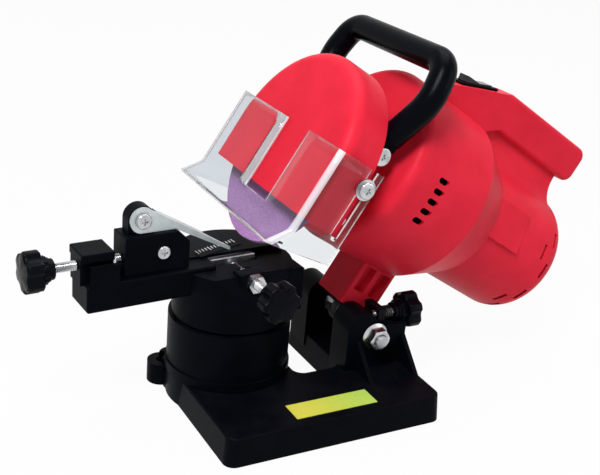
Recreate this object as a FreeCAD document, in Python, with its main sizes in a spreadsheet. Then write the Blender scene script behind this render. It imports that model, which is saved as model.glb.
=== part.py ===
import FreeCAD, Part
import math
import os
import re
from types import SimpleNamespace

import Sketcher
from FreeCAD import Placement, Rotation, Vector

# Electric chainsaw sharpener.  Millimetres, +Z up.  The origin is the turret axis on the bench,
# +X runs from the chain stop towards the motor, and -Y is the side with the clamp knob.

document = FreeCAD.newDocument("ChainsawSharpener")

# ---------------------------------------------------------------------------------------------
# Driving dimensions
# ---------------------------------------------------------------------------------------------
DIMENSIONS = [
    # base moulding
    ("base_front", 37, "turret axis to the front edge of the foot tray"),
    ("base_rear", 111, "turret axis to the rear edge of the foot tray"),
    ("base_near", 85, "turret axis to the near edge of the foot tray"),
    ("base_height", 18, "height of the foot tray"),
    ("base_wall", 3.2, "wall of the base moulding"),
    ("base_taper", 4, "draft of the tray walls, degrees"),
    ("base_corner", 7, "corner radius of the tray"),
    ("base_round", 1.2, "rounding of the tray's upper edge"),
    ("front_leg_far", 33, "far edge of the leg under the turret"),
    ("rear_leg_far", 44, "far edge of the leg under the hinge"),
    ("notch_left", 37, "left side of the gap between the legs"),
    ("notch_right", 66, "right side of the gap between the legs"),
    ("notch_near", 28, "turret axis to the closed end of the gap, towards the near side"),
    ("lug_radius", 9, "bench lug radius"),
    ("lug_height", 14, "bench lug height"),
    ("lug_hole", 3.25, "bench screw hole radius"),
    ("front_lug_y", 24, "front bench lug, distance to the far side"),
    ("rear_lug_x", 98, "rear bench lug position along the base"),
    ("pedestal_radius", 38.5, "pedestal radius"),
    ("pedestal_height", 55, "top of the pedestal"),
    ("pedestal_roof", 5, "thickness of the pedestal top"),
    ("foot_flare", 5, "size of the flare where the pedestal meets the tray"),
    # head hinge
    ("hinge_x", 85.7, "hinge axis along the base"),
    ("hinge_z", 40.5, "hinge axis height"),
    ("bolt_radius", 4, "pivot bolt shank radius"),
    ("bolt_fit", 0.06, "running fit round the pivot bolt"),
    ("arm_half", 15, "half width of the head arm at the hinge"),
    ("washer_thick", 1.8, "thrust washer thickness"),
    ("washer_radius", 7.5, "thrust washer radius"),
    ("side_gap", 0.1, "side play of each thrust washer"),
    ("cheek_width", 20, "width of each hinge cheek"),
    ("cheek_left", 66, "left side of the cheeks"),
    ("cheek_top", 46, "flat top of the cheeks"),
    ("hump_radius", 11, "round hump on the cheeks"),
    ("rib_reach", 20, "foot of the gusset ribs in front of the cheek"),
    ("rib_thick", 3, "gusset rib thickness"),
    ("rib_top", 38, "top of the gusset ribs"),
    # label
    ("label_left", 11, "left edge of the blank label"),
    ("label_length", 55.5, "label length"),
    ("label_width", 15.6, "label width"),
    ("label_thick", 0.3, "label thickness"),
    ("label_inset", 8.4, "label to the near edge of the tray"),
    # turret and vise arm
    ("vise_angle", 3.5, "swivel of the vise at rest, degrees"),
    ("swivel_gap", 0.3, "air between the turning vise and the pedestal"),
    ("turret_radius", 36.5, "turret radius"),
    ("shadow_gap", 1.6, "recess between pedestal and turret rim"),
    ("turret_top", 91, "top face of the turret"),
    ("ledge_rise", 3.5, "raised land behind the jaws"),
    ("facet_start", 26, "turret axis to the start of the sloping near facet"),
    ("facet_drop", 12, "height of the sloping near facet"),
    ("arm_front", 99, "turret axis to the front end of the vise arm"),
    ("arm_width", 25, "vise arm width"),
    ("arm_bottom", 76.5, "underside of the vise arm"),
    ("arm_top", 93.5, "top of the vise arm"),
    ("rail_width", 5.4, "guide slot width in the vise arm"),
    ("rail_depth", 11, "guide slot depth"),
    ("rail_front", 79.5, "turret axis to the front end of the guide slot"),
    ("rail_rear", 33, "turret axis to the rear end of the guide slot"),
    ("slide_gap", 0.3, "clearance of the sliding pieces"),
    # screw bracket on the arm
    ("bracket_front", 101.5, "front face of the screw bracket"),
    ("bracket_length", 20, "length of the screw bracket"),
    ("bracket_half", 7.5, "half width of the bracket block"),
    ("bracket_top", 112, "top of the bracket flange"),
    ("flange_thick", 5.5, "bracket flange thickness"),
    ("flange_half", 10, "half width of the bracket flange"),
    ("fence_thick", 2.6, "thickness of the fences beside the bracket"),
    ("fence_top", 105, "top of the fences beside the bracket"),
    # adjusting screw and knobs
    ("screw_z", 102.5, "adjusting screw axis height"),
    ("screw_radius", 3, "M6 screw radius"),
    ("thread_fit", 0.08, "fit of the screws in their threads"),
    ("adjust_end", 46, "rear end of the adjusting screw"),
    ("knob_face", 133, "outer face of the adjusting knob"),
    ("knob_radius", 12.5, "star knob radius"),
    ("knob_thick", 11, "star knob thickness"),
    ("hub_radius", 7.2, "knob hub radius"),
    ("hub_length", 7.5, "knob hub length"),
    ("scallop_radius", 6, "radius of the hollows round a knob"),
    ("scallop_offset", 16.5, "centre of the hollows round a knob"),
    ("knob_round", 1.6, "edge rounding of the knobs"),
    ("nut_flats", 10, "M6 nut across flats"),
    ("nut_height", 5, "M6 nut height"),
    # chain stop carrier and pawl
    ("carrier_front", 75, "front face of the carrier"),
    ("carrier_rear", 34.5, "rear face of the carrier"),
    ("carrier_half", 8.6, "half width of the carrier"),
    ("carrier_top", 118, "top of the carrier block"),
    ("carrier_chamfer", 7, "sloping rear corner of the carrier"),
    ("keel_front", 73, "front end of the carrier keel"),
    ("keel_rear", 39, "rear end of the carrier keel"),
    ("pivot_x", 63.5, "pawl pivot, distance in front of the turret axis"),
    ("pivot_z", 126.5, "pawl pivot height"),
    ("ear_radius", 8.3, "radius of the carrier ear round the pawl pivot"),
    ("ear_half", 4.2, "half thickness of the ear"),
    ("pawl_thick", 1.6, "pawl plate thickness"),
    ("pawl_round", 7.8, "radius of the round end of the pawl"),
    ("pawl_tip_x", 6, "pawl tip, distance in front of the turret axis"),
    ("pawl_tip_z", 101.5, "pawl tip height"),
    ("pawl_knee_x", 43, "end of the level lower edge of the pawl"),
    ("pawl_fold_x", 54.5, "start of the folded rim on the pawl"),
    ("pawl_slope", 30.5, "slope of the pawl's folded rim, degrees"),
    ("pawl_rim", 8.5, "width of the folded rim"),
    ("pawl_screw_head", 4.7, "head radius of the pawl pivot screw"),
    ("small_screw", 2, "M4 screw radius"),
    ("retainer_x", 51.5, "retaining screw, distance in front of the turret axis"),
    ("retainer_z", 106.4, "retaining screw height"),
    ("retainer_head", 4.1, "head radius of the retaining screw"),
    ("groove_radius", 1.8, "core radius of the groove in the adjusting screw"),
    # jaws and clamp
    ("jaw_left", 17, "left end of the jaws"),
    ("jaw_right", 13, "right end of the jaws"),
    ("jaw_top", 93, "top edge of the jaws"),
    ("jaw_height", 13.6, "jaw plate height"),
    ("jaw_thick", 1.8, "jaw plate thickness"),
    ("jaw_gap", 2, "jaw opening at rest"),
    ("jaw_travel", 3.4, "how far the near jaw opens"),
    ("clamp_z", 88, "clamp screw axis height"),
    ("clamp_x", 2, "clamp screw, distance in front of the turret axis"),
    ("clamp_tip", 1.5, "radius of the clamp screw tip"),
    ("ear_near", 30.3, "near face of the clamp nut wall"),
    ("ear_depth", 10.5, "thickness of the clamp nut wall"),
    ("ear_width", 18, "width of the clamp nut wall"),
    ("clamp_knob_face", 65.5, "outer face of the clamp knob"),
    # angle scale and lock
    ("scale_x", 23, "left end of the angle scale"),
    ("scale_length", 34, "angle scale length"),
    ("scale_width", 6.5, "angle scale width"),
    ("scale_near", 3.4, "near edge of the angle scale"),
    ("scale_slope", 16, "slope of the angle scale across the land, degrees"),
    ("lock_knob_low", 3, "lower face of the angle lock knob"),
    ("lock_knob_radius", 16, "angle lock knob radius"),
    ("lock_knob_thick", 10, "angle lock knob thickness"),
    # tilted head
    ("wheel_x", 33.4, "wheel centre along the base"),
    ("wheel_z", 151, "wheel centre height"),
    ("head_tilt", 32, "tilt of the wheel axis, degrees"),
    ("wheel_radius", 54, "grinding wheel radius"),
    ("wheel_thick", 3.2, "grinding wheel thickness"),
    ("wheel_bore", 11.5, "grinding wheel bore radius"),
    ("hub_fit", 0.05, "fit of the wheel on its hub"),
    ("flange_radius", 19, "wheel flange radius"),
    ("flange_plate", 3, "wheel flange thickness"),
    ("spindle_nose", 4, "spindle thread radius"),
    ("spindle_radius", 5, "spindle radius in the bearings"),
    ("spindle_nut_flats", 13, "spindle nut across flats"),
    ("spindle_nut_height", 3.6, "spindle nut height"),
    # guard
    ("guard_half", 60, "half width of the wheel guard"),
    ("guard_wall", 2.6, "guard wall"),
    ("guard_front", 12.5, "wheel plane to the front of the guard"),
    ("guard_back", 14, "wheel plane to the back of the guard"),
    ("guard_arc_v", 10, "centre of the guard arc above the wheel axis"),
    ("guard_lower", 21.5, "lower edge of the guard below the wheel axis"),
    ("guard_round", 8, "front edge rounding of the guard"),
    ("guard_screw_in", 5.8, "guard screws inside the edge of the guard"),
    ("guard_screw_low", 12, "lower guard screws below the wheel axis"),
    ("guard_screw_angle", 47.2, "upper guard screws above the level, degrees"),
    ("backplate_thick", 2.4, "guard backplate thickness"),
    # shield
    ("shield_front", 16.6, "wheel plane to the front of the shield"),
    ("shield_thick", 2, "shield wall"),
    ("shield_gap", 1.4, "air between guard and shield sides"),
    ("shield_top", 22, "top of the shield above the wheel axis"),
    ("shield_bottom", 31, "start of the flared lip below the wheel axis"),
    ("shield_back", 19, "back edge of the shield sides"),
    ("lip_reach", 10, "how far the lip flares forward"),
    ("lip_drop", 12, "how far the lip reaches down"),
    ("side_bottom", 38, "lower rear corner of the shield sides"),
    ("window_left", 25, "near edge of the open slot in the shield"),
    ("window_right", 2, "far edge of the open slot in the shield"),
    ("window_bottom", 26, "lower end of the open slot in the shield"),
    ("shield_screw_w", 11.5, "shield screw behind the wheel plane"),
    ("shield_screw_v", 10.3, "shield screw above the wheel axis"),
    ("shield_slot_end", 22, "lower end of the side slots below the wheel axis"),
    ("shield_screw_head", 5, "shield screw head radius"),
    ("shield_washer", 6.4, "shield washer radius"),
    ("shield_head", 3.8, "shield to the top of the screw head"),
    # housing
    ("case_wall", 2.6, "wall of the housing shells"),
    ("neck_half", 31, "half width of the neck behind the guard"),
    ("neck_low", 28, "underside of the neck below the wheel axis"),
    ("neck_high", 46, "top of the neck above the wheel axis"),
    ("drum_radius", 59, "gear drum radius"),
    ("drum_front", 38, "front face of the gear drum"),
    ("drum_rear", 102, "rear end of the full drum radius"),
    ("drum_round", 6, "front edge rounding of the drum"),
    ("motor_v", 27, "motor axis above the wheel axis"),
    ("barrel_radius", 43.5, "motor barrel radius"),
    ("barrel_front", 134, "end of the cone between drum and barrel"),
    ("barrel_rear", 208, "rear end of the motor barrel"),
    ("barrel_round", 14, "rear edge rounding of the barrel"),
    ("gland_radius", 6.5, "cord gland collar radius"),
    ("gland_stem", 4.4, "radius of the gland in the housing"),
    ("lead_hole", 3.1, "hole for the power cord"),
    ("web_half", 6.5, "half width of the web under the top rail"),
    ("web_rear", 192, "rear end of the web"),
    ("web_fairing", 24, "radius of the hollow curve from the web to the barrel"),
    ("rail_half", 11.5, "half width of the top rail"),
    ("rail_low", 88, "underside of the top rail"),
    ("rail_high", 113.5, "top of the top rail"),
    ("rail_end", 203, "rear end of the top rail"),
    ("rail_round", 7, "edge rounding of the top rail"),
    ("ramp_start", 64.5, "front end of the switch ramp"),
    ("ramp_low", 94, "height of the switch ramp at its front end"),
    ("rail_screw_inset", 12, "rear housing screw inside the end of the rail"),
    ("drum_screw_face", 38, "heads of the housing screws in the drum, from the middle"),
    ("ramp_end", 116.5, "rear end of the switch ramp"),
    ("arm_lower_front", 82, "front face of the head arm"),
    ("arm_lower_rear", 111, "rear face of the head arm"),
    ("arm_boss", 14.5, "radius of the arm end at the hinge"),
    ("arm_pocket", 6, "depth of the long hollows in the arm"),
    ("toe_drop", 17.5, "how far the toe of the arm reaches below the hinge"),
    ("toe_wall", 4, "wall of the toe round the return spring"),
    ("vent_count", 5, "number of side vents"),
    ("vent_pitch", 7, "pitch of the side vents"),
    ("vent_width", 3.6, "width of the side vents"),
    ("vent_length", 9, "length of the side vents"),
    ("vent_w", 64, "side vents behind the wheel plane"),
    ("end_vent_width", 2.8, "width of the motor end vents"),
    ("end_vent_length", 11, "length of the motor end vents"),
    ("end_vent_inset", 14, "from the end of the barrel to its last row of vents"),
    ("end_vent_step", 8, "between the two rows of vents at the end of the barrel"),
    ("panel_front", 106, "front edge of the flat panel on the barrel"),
    ("panel_length", 56, "length of the flat panel"),
    ("panel_width", 27, "width of the flat panel"),
    ("panel_angle", 17, "flat panel, turned up from the side of the barrel, degrees"),
    ("panel_rise", 0.3, "height of the flat panel over the barrel"),
    # handle
    ("handle_w", 22.5, "handle plane behind the wheel plane"),
    ("handle_section", 8.1, "handle bar radius"),
    ("handle_bend_foot", 14, "bend radius at the foot of the handle legs"),
    ("handle_bend_side", 26, "bend radius where the handle is widest"),
    ("handle_bend_top", 13, "bend radius at the handle corners"),
    ("handle_lean", 6, "how far the upper corners lean inwards"),
    ("handle_flat", 14.2, "thickness of the flattened handle feet"),
    ("handle_top", 96.5, "centre of the handle top bar above the wheel axis"),
    ("handle_half", 57.5, "half width of the handle at its widest, to the bar centre"),
    ("handle_foot_half", 38.9, "half width of the handle feet, to the bar centre"),
    ("handle_knee_v", 46, "height where the handle legs spread"),
    ("handle_wide_v", 72, "height where the handle is widest"),
    ("handle_foot_v", 27, "lower end of the handle legs"),
    ("handle_screw_v", 31.5, "handle screws above the wheel axis"),
    ("handle_screw_head", 6, "handle screw head radius"),
    # drive
    ("gear_module", 1, "gear module"),
    ("pinion_teeth", 12, "teeth of the motor pinion"),
    ("gear_face", 8, "gear face width"),
    ("gear_w", 31, "front face of the gears"),
    ("gear_backlash", 0.35, "clearance between the tooth flanks and roots"),
    ("ball_outer", 13, "spindle bearing outer radius"),
    ("ball_width", 8, "bearing width"),
    ("ball_front", 18, "front face of the front spindle bearing"),
    ("motor_ball_outer", 11, "motor bearing outer radius"),
    ("motor_ball_inset", 19, "front face of the rear motor bearing inside the end of the barrel"),
    ("seat_fit", 0.02, "fit of the bearings in their seats"),
    ("plate_w", 46, "front face of the bearing plate"),
    ("plate_thick", 8.5, "bearing plate thickness"),
    ("shaft_radius", 4, "motor shaft radius"),
    ("stator_front", 124, "front of the stator"),
    ("stator_length", 28, "stator length"),
    ("stator_radius", 33, "stator outer radius"),
    ("stator_flat", 27, "motor axis to the flats of the stator"),
    ("stator_bore", 18.5, "stator bore radius"),
    ("air_gap", 0.6, "air gap between rotor and stator"),
    ("fan_front", 98, "front of the cooling fan"),
    ("fan_width", 12, "cooling fan width"),
    ("fan_radius", 36, "cooling fan radius"),
    ("commutator_radius", 12, "commutator radius"),
    ("commutator_front", 172, "front of the commutator"),
    ("commutator_length", 12, "commutator length"),
    ("brush_width", 6, "carbon brush width"),
    ("brush_length", 14, "carbon brush length"),
    # switch
    ("switch_length", 30, "switch bezel length"),
    ("switch_width", 15, "switch bezel width"),
    ("switch_bezel", 1.8, "switch bezel thickness"),
    ("rocker_length", 22, "rocker length"),
    ("rocker_width", 10, "rocker width"),
    ("rocker_tilt", 9, "tilt of the rocker at rest, degrees"),
    # depth stop
    ("stop_y", 27, "depth stop axis, distance to the near side"),
    ("stop_z", 50, "depth stop axis height"),
    ("stop_tip_x", 88.8, "tip of the depth stop screw"),
    ("stop_air", 0.6, "air between the cheek and the knob and spring of the depth stop"),
    ("lug_left", 90.5, "left face of the depth stop lug"),
    ("lug_thick", 5, "thickness of the depth stop lug"),
    ("lug_bottom", 46.6, "underside of the depth stop lug"),
    ("lug_top", 55.5, "top of the depth stop lug"),
    ("lug_reach", 5.6, "depth stop axis to the near end of the lug"),
    ("stop_knob_x", 122, "outer face of the depth stop knob"),
    ("stop_spring_radius", 4.3, "coil radius of the depth stop spring"),
    ("spring_wire", 0.6, "wire radius of the depth stop spring"),
]

sheet = document.addObject("Spreadsheet::Sheet", "Sizes")
for row, (alias, value, meaning) in enumerate(DIMENSIONS, start=1):
    sheet.set(f"A{row}", meaning)
    sheet.set(f"B{row}", str(value))
    sheet.setAlias(f"B{row}", alias)
document.recompute()

SIZE = {alias: float(getattr(sheet, alias)) for alias, _, _ in DIMENSIONS}
number = SimpleNamespace(**SIZE)
WORD = re.compile(r"[a-z_]+")


def formula(text):
    """Expression with every size name pointed at the sheet."""
    return WORD.sub(lambda word: f"Sizes.{word[0]}" if word[0] in SIZE else word[0], str(text))


# ---------------------------------------------------------------------------------------------
# Building blocks: every length and place is a formula of the sheet
# ---------------------------------------------------------------------------------------------
AXES = {
    "x": Rotation(Vector(0, 1, 0), 90),
    "y": Rotation(Vector(1, 0, 0), -90),
    "z": Rotation(),
}
OTHER_AXES = {"x": (1, 2), "y": (0, 2), "z": (0, 1)}


def add(kind, **formulas):
    """New document object with its properties bound to the sheet."""
    item = document.addObject(kind, kind.split("::")[1])
    for name, text in formulas.items():
        item.setExpression(name, formula(text))
    return item


def move(item, corner, rotation=Rotation()):
    """Place an object with its base point bound to the sheet."""
    item.Placement = Placement(Vector(), rotation)
    for name, text in zip("xyz", corner):
        item.setExpression(f"Placement.Base.{name}", formula(text))
    return item


def span(start, end):
    return f"({end}) - ({start})"


def box(xs, ys, zs):
    """Block between three pairs of coordinates."""
    item = add("Part::Box", Length=span(*xs), Width=span(*ys), Height=span(*zs))
    return move(item, (xs[0], ys[0], zs[0]))


def along(item, axis, centre, start):
    """Turn a round primitive onto an axis and start it there."""
    corner = ["0", "0", "0"]
    first, second = OTHER_AXES[axis]
    corner[first], corner[second] = centre
    corner["xyz".index(axis)] = start
    return move(item, corner, AXES[axis])


def rod(axis, radius, centre, start, end):
    """Cylinder along an axis; centre gives its other two coordinates."""
    return along(add("Part::Cylinder", Radius=radius, Height=span(start, end)), axis, centre, start)


def cone(axis, first, last, centre, start, end):
    item = add("Part::Cone", Radius1=first, Radius2=last, Height=span(start, end))
    return along(item, axis, centre, start)


def hexagon(axis, flats, centre, start, end):
    item = add("Part::Prism", Circumradius=f"({flats}) / sqrt(3)", Height=span(start, end))
    item.Polygon = 6
    return along(item, axis, centre, start)


def fuse(*items):
    joined = add("Part::MultiFuse")
    joined.Shapes = list(items)
    joined.Refine = True
    return joined


def cut(base, *tools):
    result = add("Part::Cut")
    result.Base = base
    result.Tool = tools[0] if len(tools) == 1 else fuse(*tools)
    return result


def common(first, second):
    result = add("Part::Common")
    result.Base = first
    result.Tool = second
    return result


def ring(axis, outer, inner, centre, start, end):
    return cut(rod(axis, outer, centre, start, end), rod(axis, inner, centre, start, end))


def turned(item, axis, angle, about=(0, 0, 0)):
    """Object turned as a whole about a point, by an angle from the sheet."""
    group = add("Part::Compound")
    group.Links = [item]
    x, y, z = about
    spin = f"rotation(vector({axis}); {angle})"
    group.setExpression(
        "Placement",
        formula(f"placement(vector({x}; {y}; {z}); {spin})"
                f" * placement(vector(-({x}); -({y}); -({z})); rotation(vector({axis}); 0))"))
    return group


def rounded(item, radius, wanted):
    """Fillet on the edges that a test picks."""
    document.recompute()
    item_edges = enumerate(item.Shape.Edges, start=1)
    chosen = [(index, SIZE.get(radius, radius), SIZE.get(radius, radius))
              for index, edge in item_edges if wanted(edge)]
    result = add("Part::Fillet")
    result.Base = item
    result.Edges = chosen
    return result


def direction(edge):
    """Unit direction of a straight edge, or None."""
    if not isinstance(edge.Curve, Part.Line):
        return None
    return (edge.lastVertex().Point - edge.firstVertex().Point).normalize()


def runs_along(axis):
    """Test for straight edges parallel to an axis."""
    unit = {"x": Vector(1, 0, 0), "y": Vector(0, 1, 0), "z": Vector(0, 0, 1)}[axis]

    def test(edge):
        way = direction(edge)
        return way is not None and abs(way.dot(unit)) > 0.999
    return test


def lies_in(axis, place):
    """Test for edges that lie in one plane square to an axis."""
    place = float(place)

    def test(edge):
        box_of = edge.BoundBox
        low, high = getattr(box_of, axis.upper() + "Min"), getattr(box_of, axis.upper() + "Max")
        return abs(low - place) < 1e-4 and abs(high - place) < 1e-4
    return test


def outline(sketch, points):
    """Closed outline of straight lines, each corner held by two bound dimensions."""
    count = len(points)
    start = sketch.GeometryCount
    rough = [Vector(10 * math.cos(2 * math.pi * i / count), 10 * math.sin(2 * math.pi * i / count), 0)
             for i in range(count)]
    for i in range(count):
        sketch.addGeometry(Part.LineSegment(rough[i], rough[(i + 1) % count]), False)
    for i in range(count):
        sketch.addConstraint(Sketcher.Constraint(
            "Coincident", start + i, 2, start + (i + 1) % count, 1))
    for i, corner in enumerate(points):
        for kind, text in zip(("DistanceX", "DistanceY"), corner):
            dimension = sketch.addConstraint(Sketcher.Constraint(kind, -1, 1, start + i, 1, 1.0))
            sketch.setExpression(f"Constraints[{dimension}]", formula(text))


def circle(sketch, radius, centre=("0", "0")):
    """Circle with its radius and centre bound."""
    index = sketch.addGeometry(Part.Circle(Vector(1, 1, 0), Vector(0, 0, 1), 1), False)
    dimension = sketch.addConstraint(Sketcher.Constraint("Radius", index, 1.0))
    sketch.setExpression(f"Constraints[{dimension}]", formula(radius))
    for kind, text in zip(("DistanceX", "DistanceY"), centre):
        dimension = sketch.addConstraint(Sketcher.Constraint(kind, -1, 1, index, 3, 1.0))
        sketch.setExpression(f"Constraints[{dimension}]", formula(text))


class Body:
    """PartDesign body with a few short calls for its sketches and features."""

    def __init__(self, name):
        self.item = document.addObject("PartDesign::Body", name)

    def sketch(self, plane, offset="0"):
        """Sketch on an origin plane, moved off it along +Z, +Y or +X."""
        item = self.item.newObject("Sketcher::SketchObject", "Sketch")
        origin = [p for p in self.item.Origin.OriginFeatures if p.Role == f"{plane}_Plane"][0]
        item.AttachmentSupport = (origin, [""])
        item.MapMode = "FlatFace"
        sign = "-" if plane == "XZ" else ""
        item.setExpression("AttachmentOffset.Base.z", formula(f"{sign}({offset})"))
        return item

    def pad(self, sketch, length, taper=None):
        """Material from the sketch, towards +Z, +Y or +X."""
        return self.feature("PartDesign::Pad", sketch, length, taper, self.plane_of(sketch) == "XZ")

    def pocket(self, sketch, length):
        """Material taken away from the sketch, towards +Z, +Y or +X."""
        return self.feature("PartDesign::Pocket", sketch, length, None, self.plane_of(sketch) != "XZ")

    def plane_of(self, sketch):
        return sketch.AttachmentSupport[0][0].Role.split("_")[0]

    def feature(self, kind, sketch, length, taper, backwards):
        item = self.item.newObject(kind, kind.split("::")[1])
        item.Profile = sketch
        item.Reversed = backwards
        item.setExpression("Length", formula(length))
        if taper:
            item.setExpression("TaperAngle", formula(taper))
        before = self.item.Shape.Volume if self.item.Shape.Solids else 0.0
        document.recompute()
        grown = item.Shape.Volume > before
        if grown != kind.endswith("Pad"):
            raise RuntimeError(f"{self.item.Name}: {item.Name} changed nothing")
        return item

    def polar(self, feature, count):
        """Copies of a feature round the Z axis."""
        item = self.item.newObject("PartDesign::PolarPattern", "PolarPattern")
        item.Originals = [feature]
        item.Axis = ([p for p in self.item.Origin.OriginFeatures if p.Role == "Z_Axis"][0], [""])
        item.Angle = 360
        item.Occurrences = count
        self.item.Tip = item
        document.recompute()
        return item

    def fillet(self, radius, wanted):
        """Fillet on the edges that a test picks, its radius bound."""
        tip = self.item.Tip
        names = [f"Edge{i}" for i, edge in enumerate(tip.Shape.Edges, start=1) if wanted(edge)]
        item = self.item.newObject("PartDesign::Fillet", "Fillet")
        item.Base = (tip, names)
        item.setExpression("Radius", formula(radius))
        document.recompute()
        return item


# ---------------------------------------------------------------------------------------------
# Frames: the bench, the swivelled vise and the tilted head (x along the wheel axis)
# ---------------------------------------------------------------------------------------------
FRAMES = {
    "bench": None,
    "vise": "placement(vector(0; 0; 0); rotation(vector(0; 0; 1); vise_angle))",
    "head": "placement(vector(wheel_x; 0; wheel_z); rotation(vector(0; 1; 0); head_tilt))",
}
nodes = []


def node(label, frame, *items):
    """One named piece, or a group of identical separate ones, in its frame."""
    group = add("Part::Compound")
    group.Links = list(items)
    group.Label = label
    if FRAMES[frame]:
        group.setExpression("Placement", formula(FRAMES[frame]))
    nodes.append(group)
    return group


def star_knob(axis, centre, face, inward, radius="knob_radius", thick="knob_thick"):
    """Six-lobed knob with a hub, on an axis; inward is 1 or -1, from the face to the hub."""
    body = Body("StarKnob")
    star = body.sketch("XY")
    circle(star, radius)
    body.pad(star, thick)
    hollow = body.sketch("XY")
    circle(hollow, f"scallop_radius * {radius} / knob_radius",
           (f"scallop_offset * {radius} / knob_radius", "0"))
    body.polar(body.pocket(hollow, thick), 6)
    depth = SIZE[thick]

    def rim(edge):
        return lies_in("z", 0)(edge) or lies_in("z", depth)(edge)
    body.fillet("knob_round", rim)
    hub = body.sketch("XY", thick)
    circle(hub, "hub_radius")
    body.pad(hub, "hub_length")
    bore = body.sketch("XY", "knob_round + 1.4")
    circle(bore, "screw_radius + thread_fit")
    body.pocket(bore, f"{thick} + hub_length")
    turn = {("x", 1): Rotation(Vector(0, 1, 0), 90), ("x", -1): Rotation(Vector(0, 1, 0), -90),
            ("y", 1): Rotation(Vector(1, 0, 0), -90), ("z", 1): Rotation()}[axis, inward]
    corner = ["0", "0", "0"]
    first, second = OTHER_AXES[axis]
    corner[first], corner[second] = centre
    corner["xyz".index(axis)] = face
    return move(body.item, corner, turn)


def coil(axis, centre, start, end, turns, radius, wire):
    """Spring coil of round wire, as one solid, along an axis."""
    length = end - start
    spine = Part.makeHelix(length / turns, length, radius)
    section = Part.Wire(Part.makeCircle(wire, Vector(radius, 0, 0), Vector(0, 1, 0)))
    item = document.addObject("Part::Feature", "Coil")
    item.Shape = Part.Wire(spine).makePipeShell([section], True, True)
    corner = [0.0, 0.0, 0.0]
    first, second = OTHER_AXES[axis]
    corner[first], corner[second] = centre
    corner["xyz".index(axis)] = start
    item.Placement = Placement(Vector(*corner), AXES[axis])
    return item


def seen_from_head(item):
    """Bench piece brought into the frame of the tilted head."""
    group = add("Part::Compound")
    group.Links = [item]
    group.setExpression("Placement", formula(
        "placement(vector(0; 0; 0); rotation(vector(0; 1; 0); -head_tilt))"
        " * placement(vector(-wheel_x; 0; -wheel_z); rotation(vector(0; 1; 0); 0))"))
    return group


# ---------------------------------------------------------------------------------------------
# Base
# ---------------------------------------------------------------------------------------------
CHEEK_IN = "arm_half + washer_thick + 2 * side_gap"
CHEEK_OUT = f"{CHEEK_IN} + cheek_width"
PIVOT = ("hinge_x", "hinge_z")


def tray_outline(sketch, inset):
    """U-shaped plan of the foot tray, moved inwards by an inset."""
    outline(sketch, [
        (f"-base_front + {inset}", f"-base_near + {inset}"),
        (f"base_rear - ({inset})", f"-base_near + {inset}"),
        (f"base_rear - ({inset})", f"rear_leg_far - ({inset})"),
        (f"notch_right + {inset}", f"rear_leg_far - ({inset})"),
        (f"notch_right + {inset}", f"-notch_near - ({inset})"),
        (f"notch_left - ({inset})", f"-notch_near - ({inset})"),
        (f"notch_left - ({inset})", f"front_leg_far - ({inset})"),
        (f"-base_front + {inset}", f"front_leg_far - ({inset})"),
    ])


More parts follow.
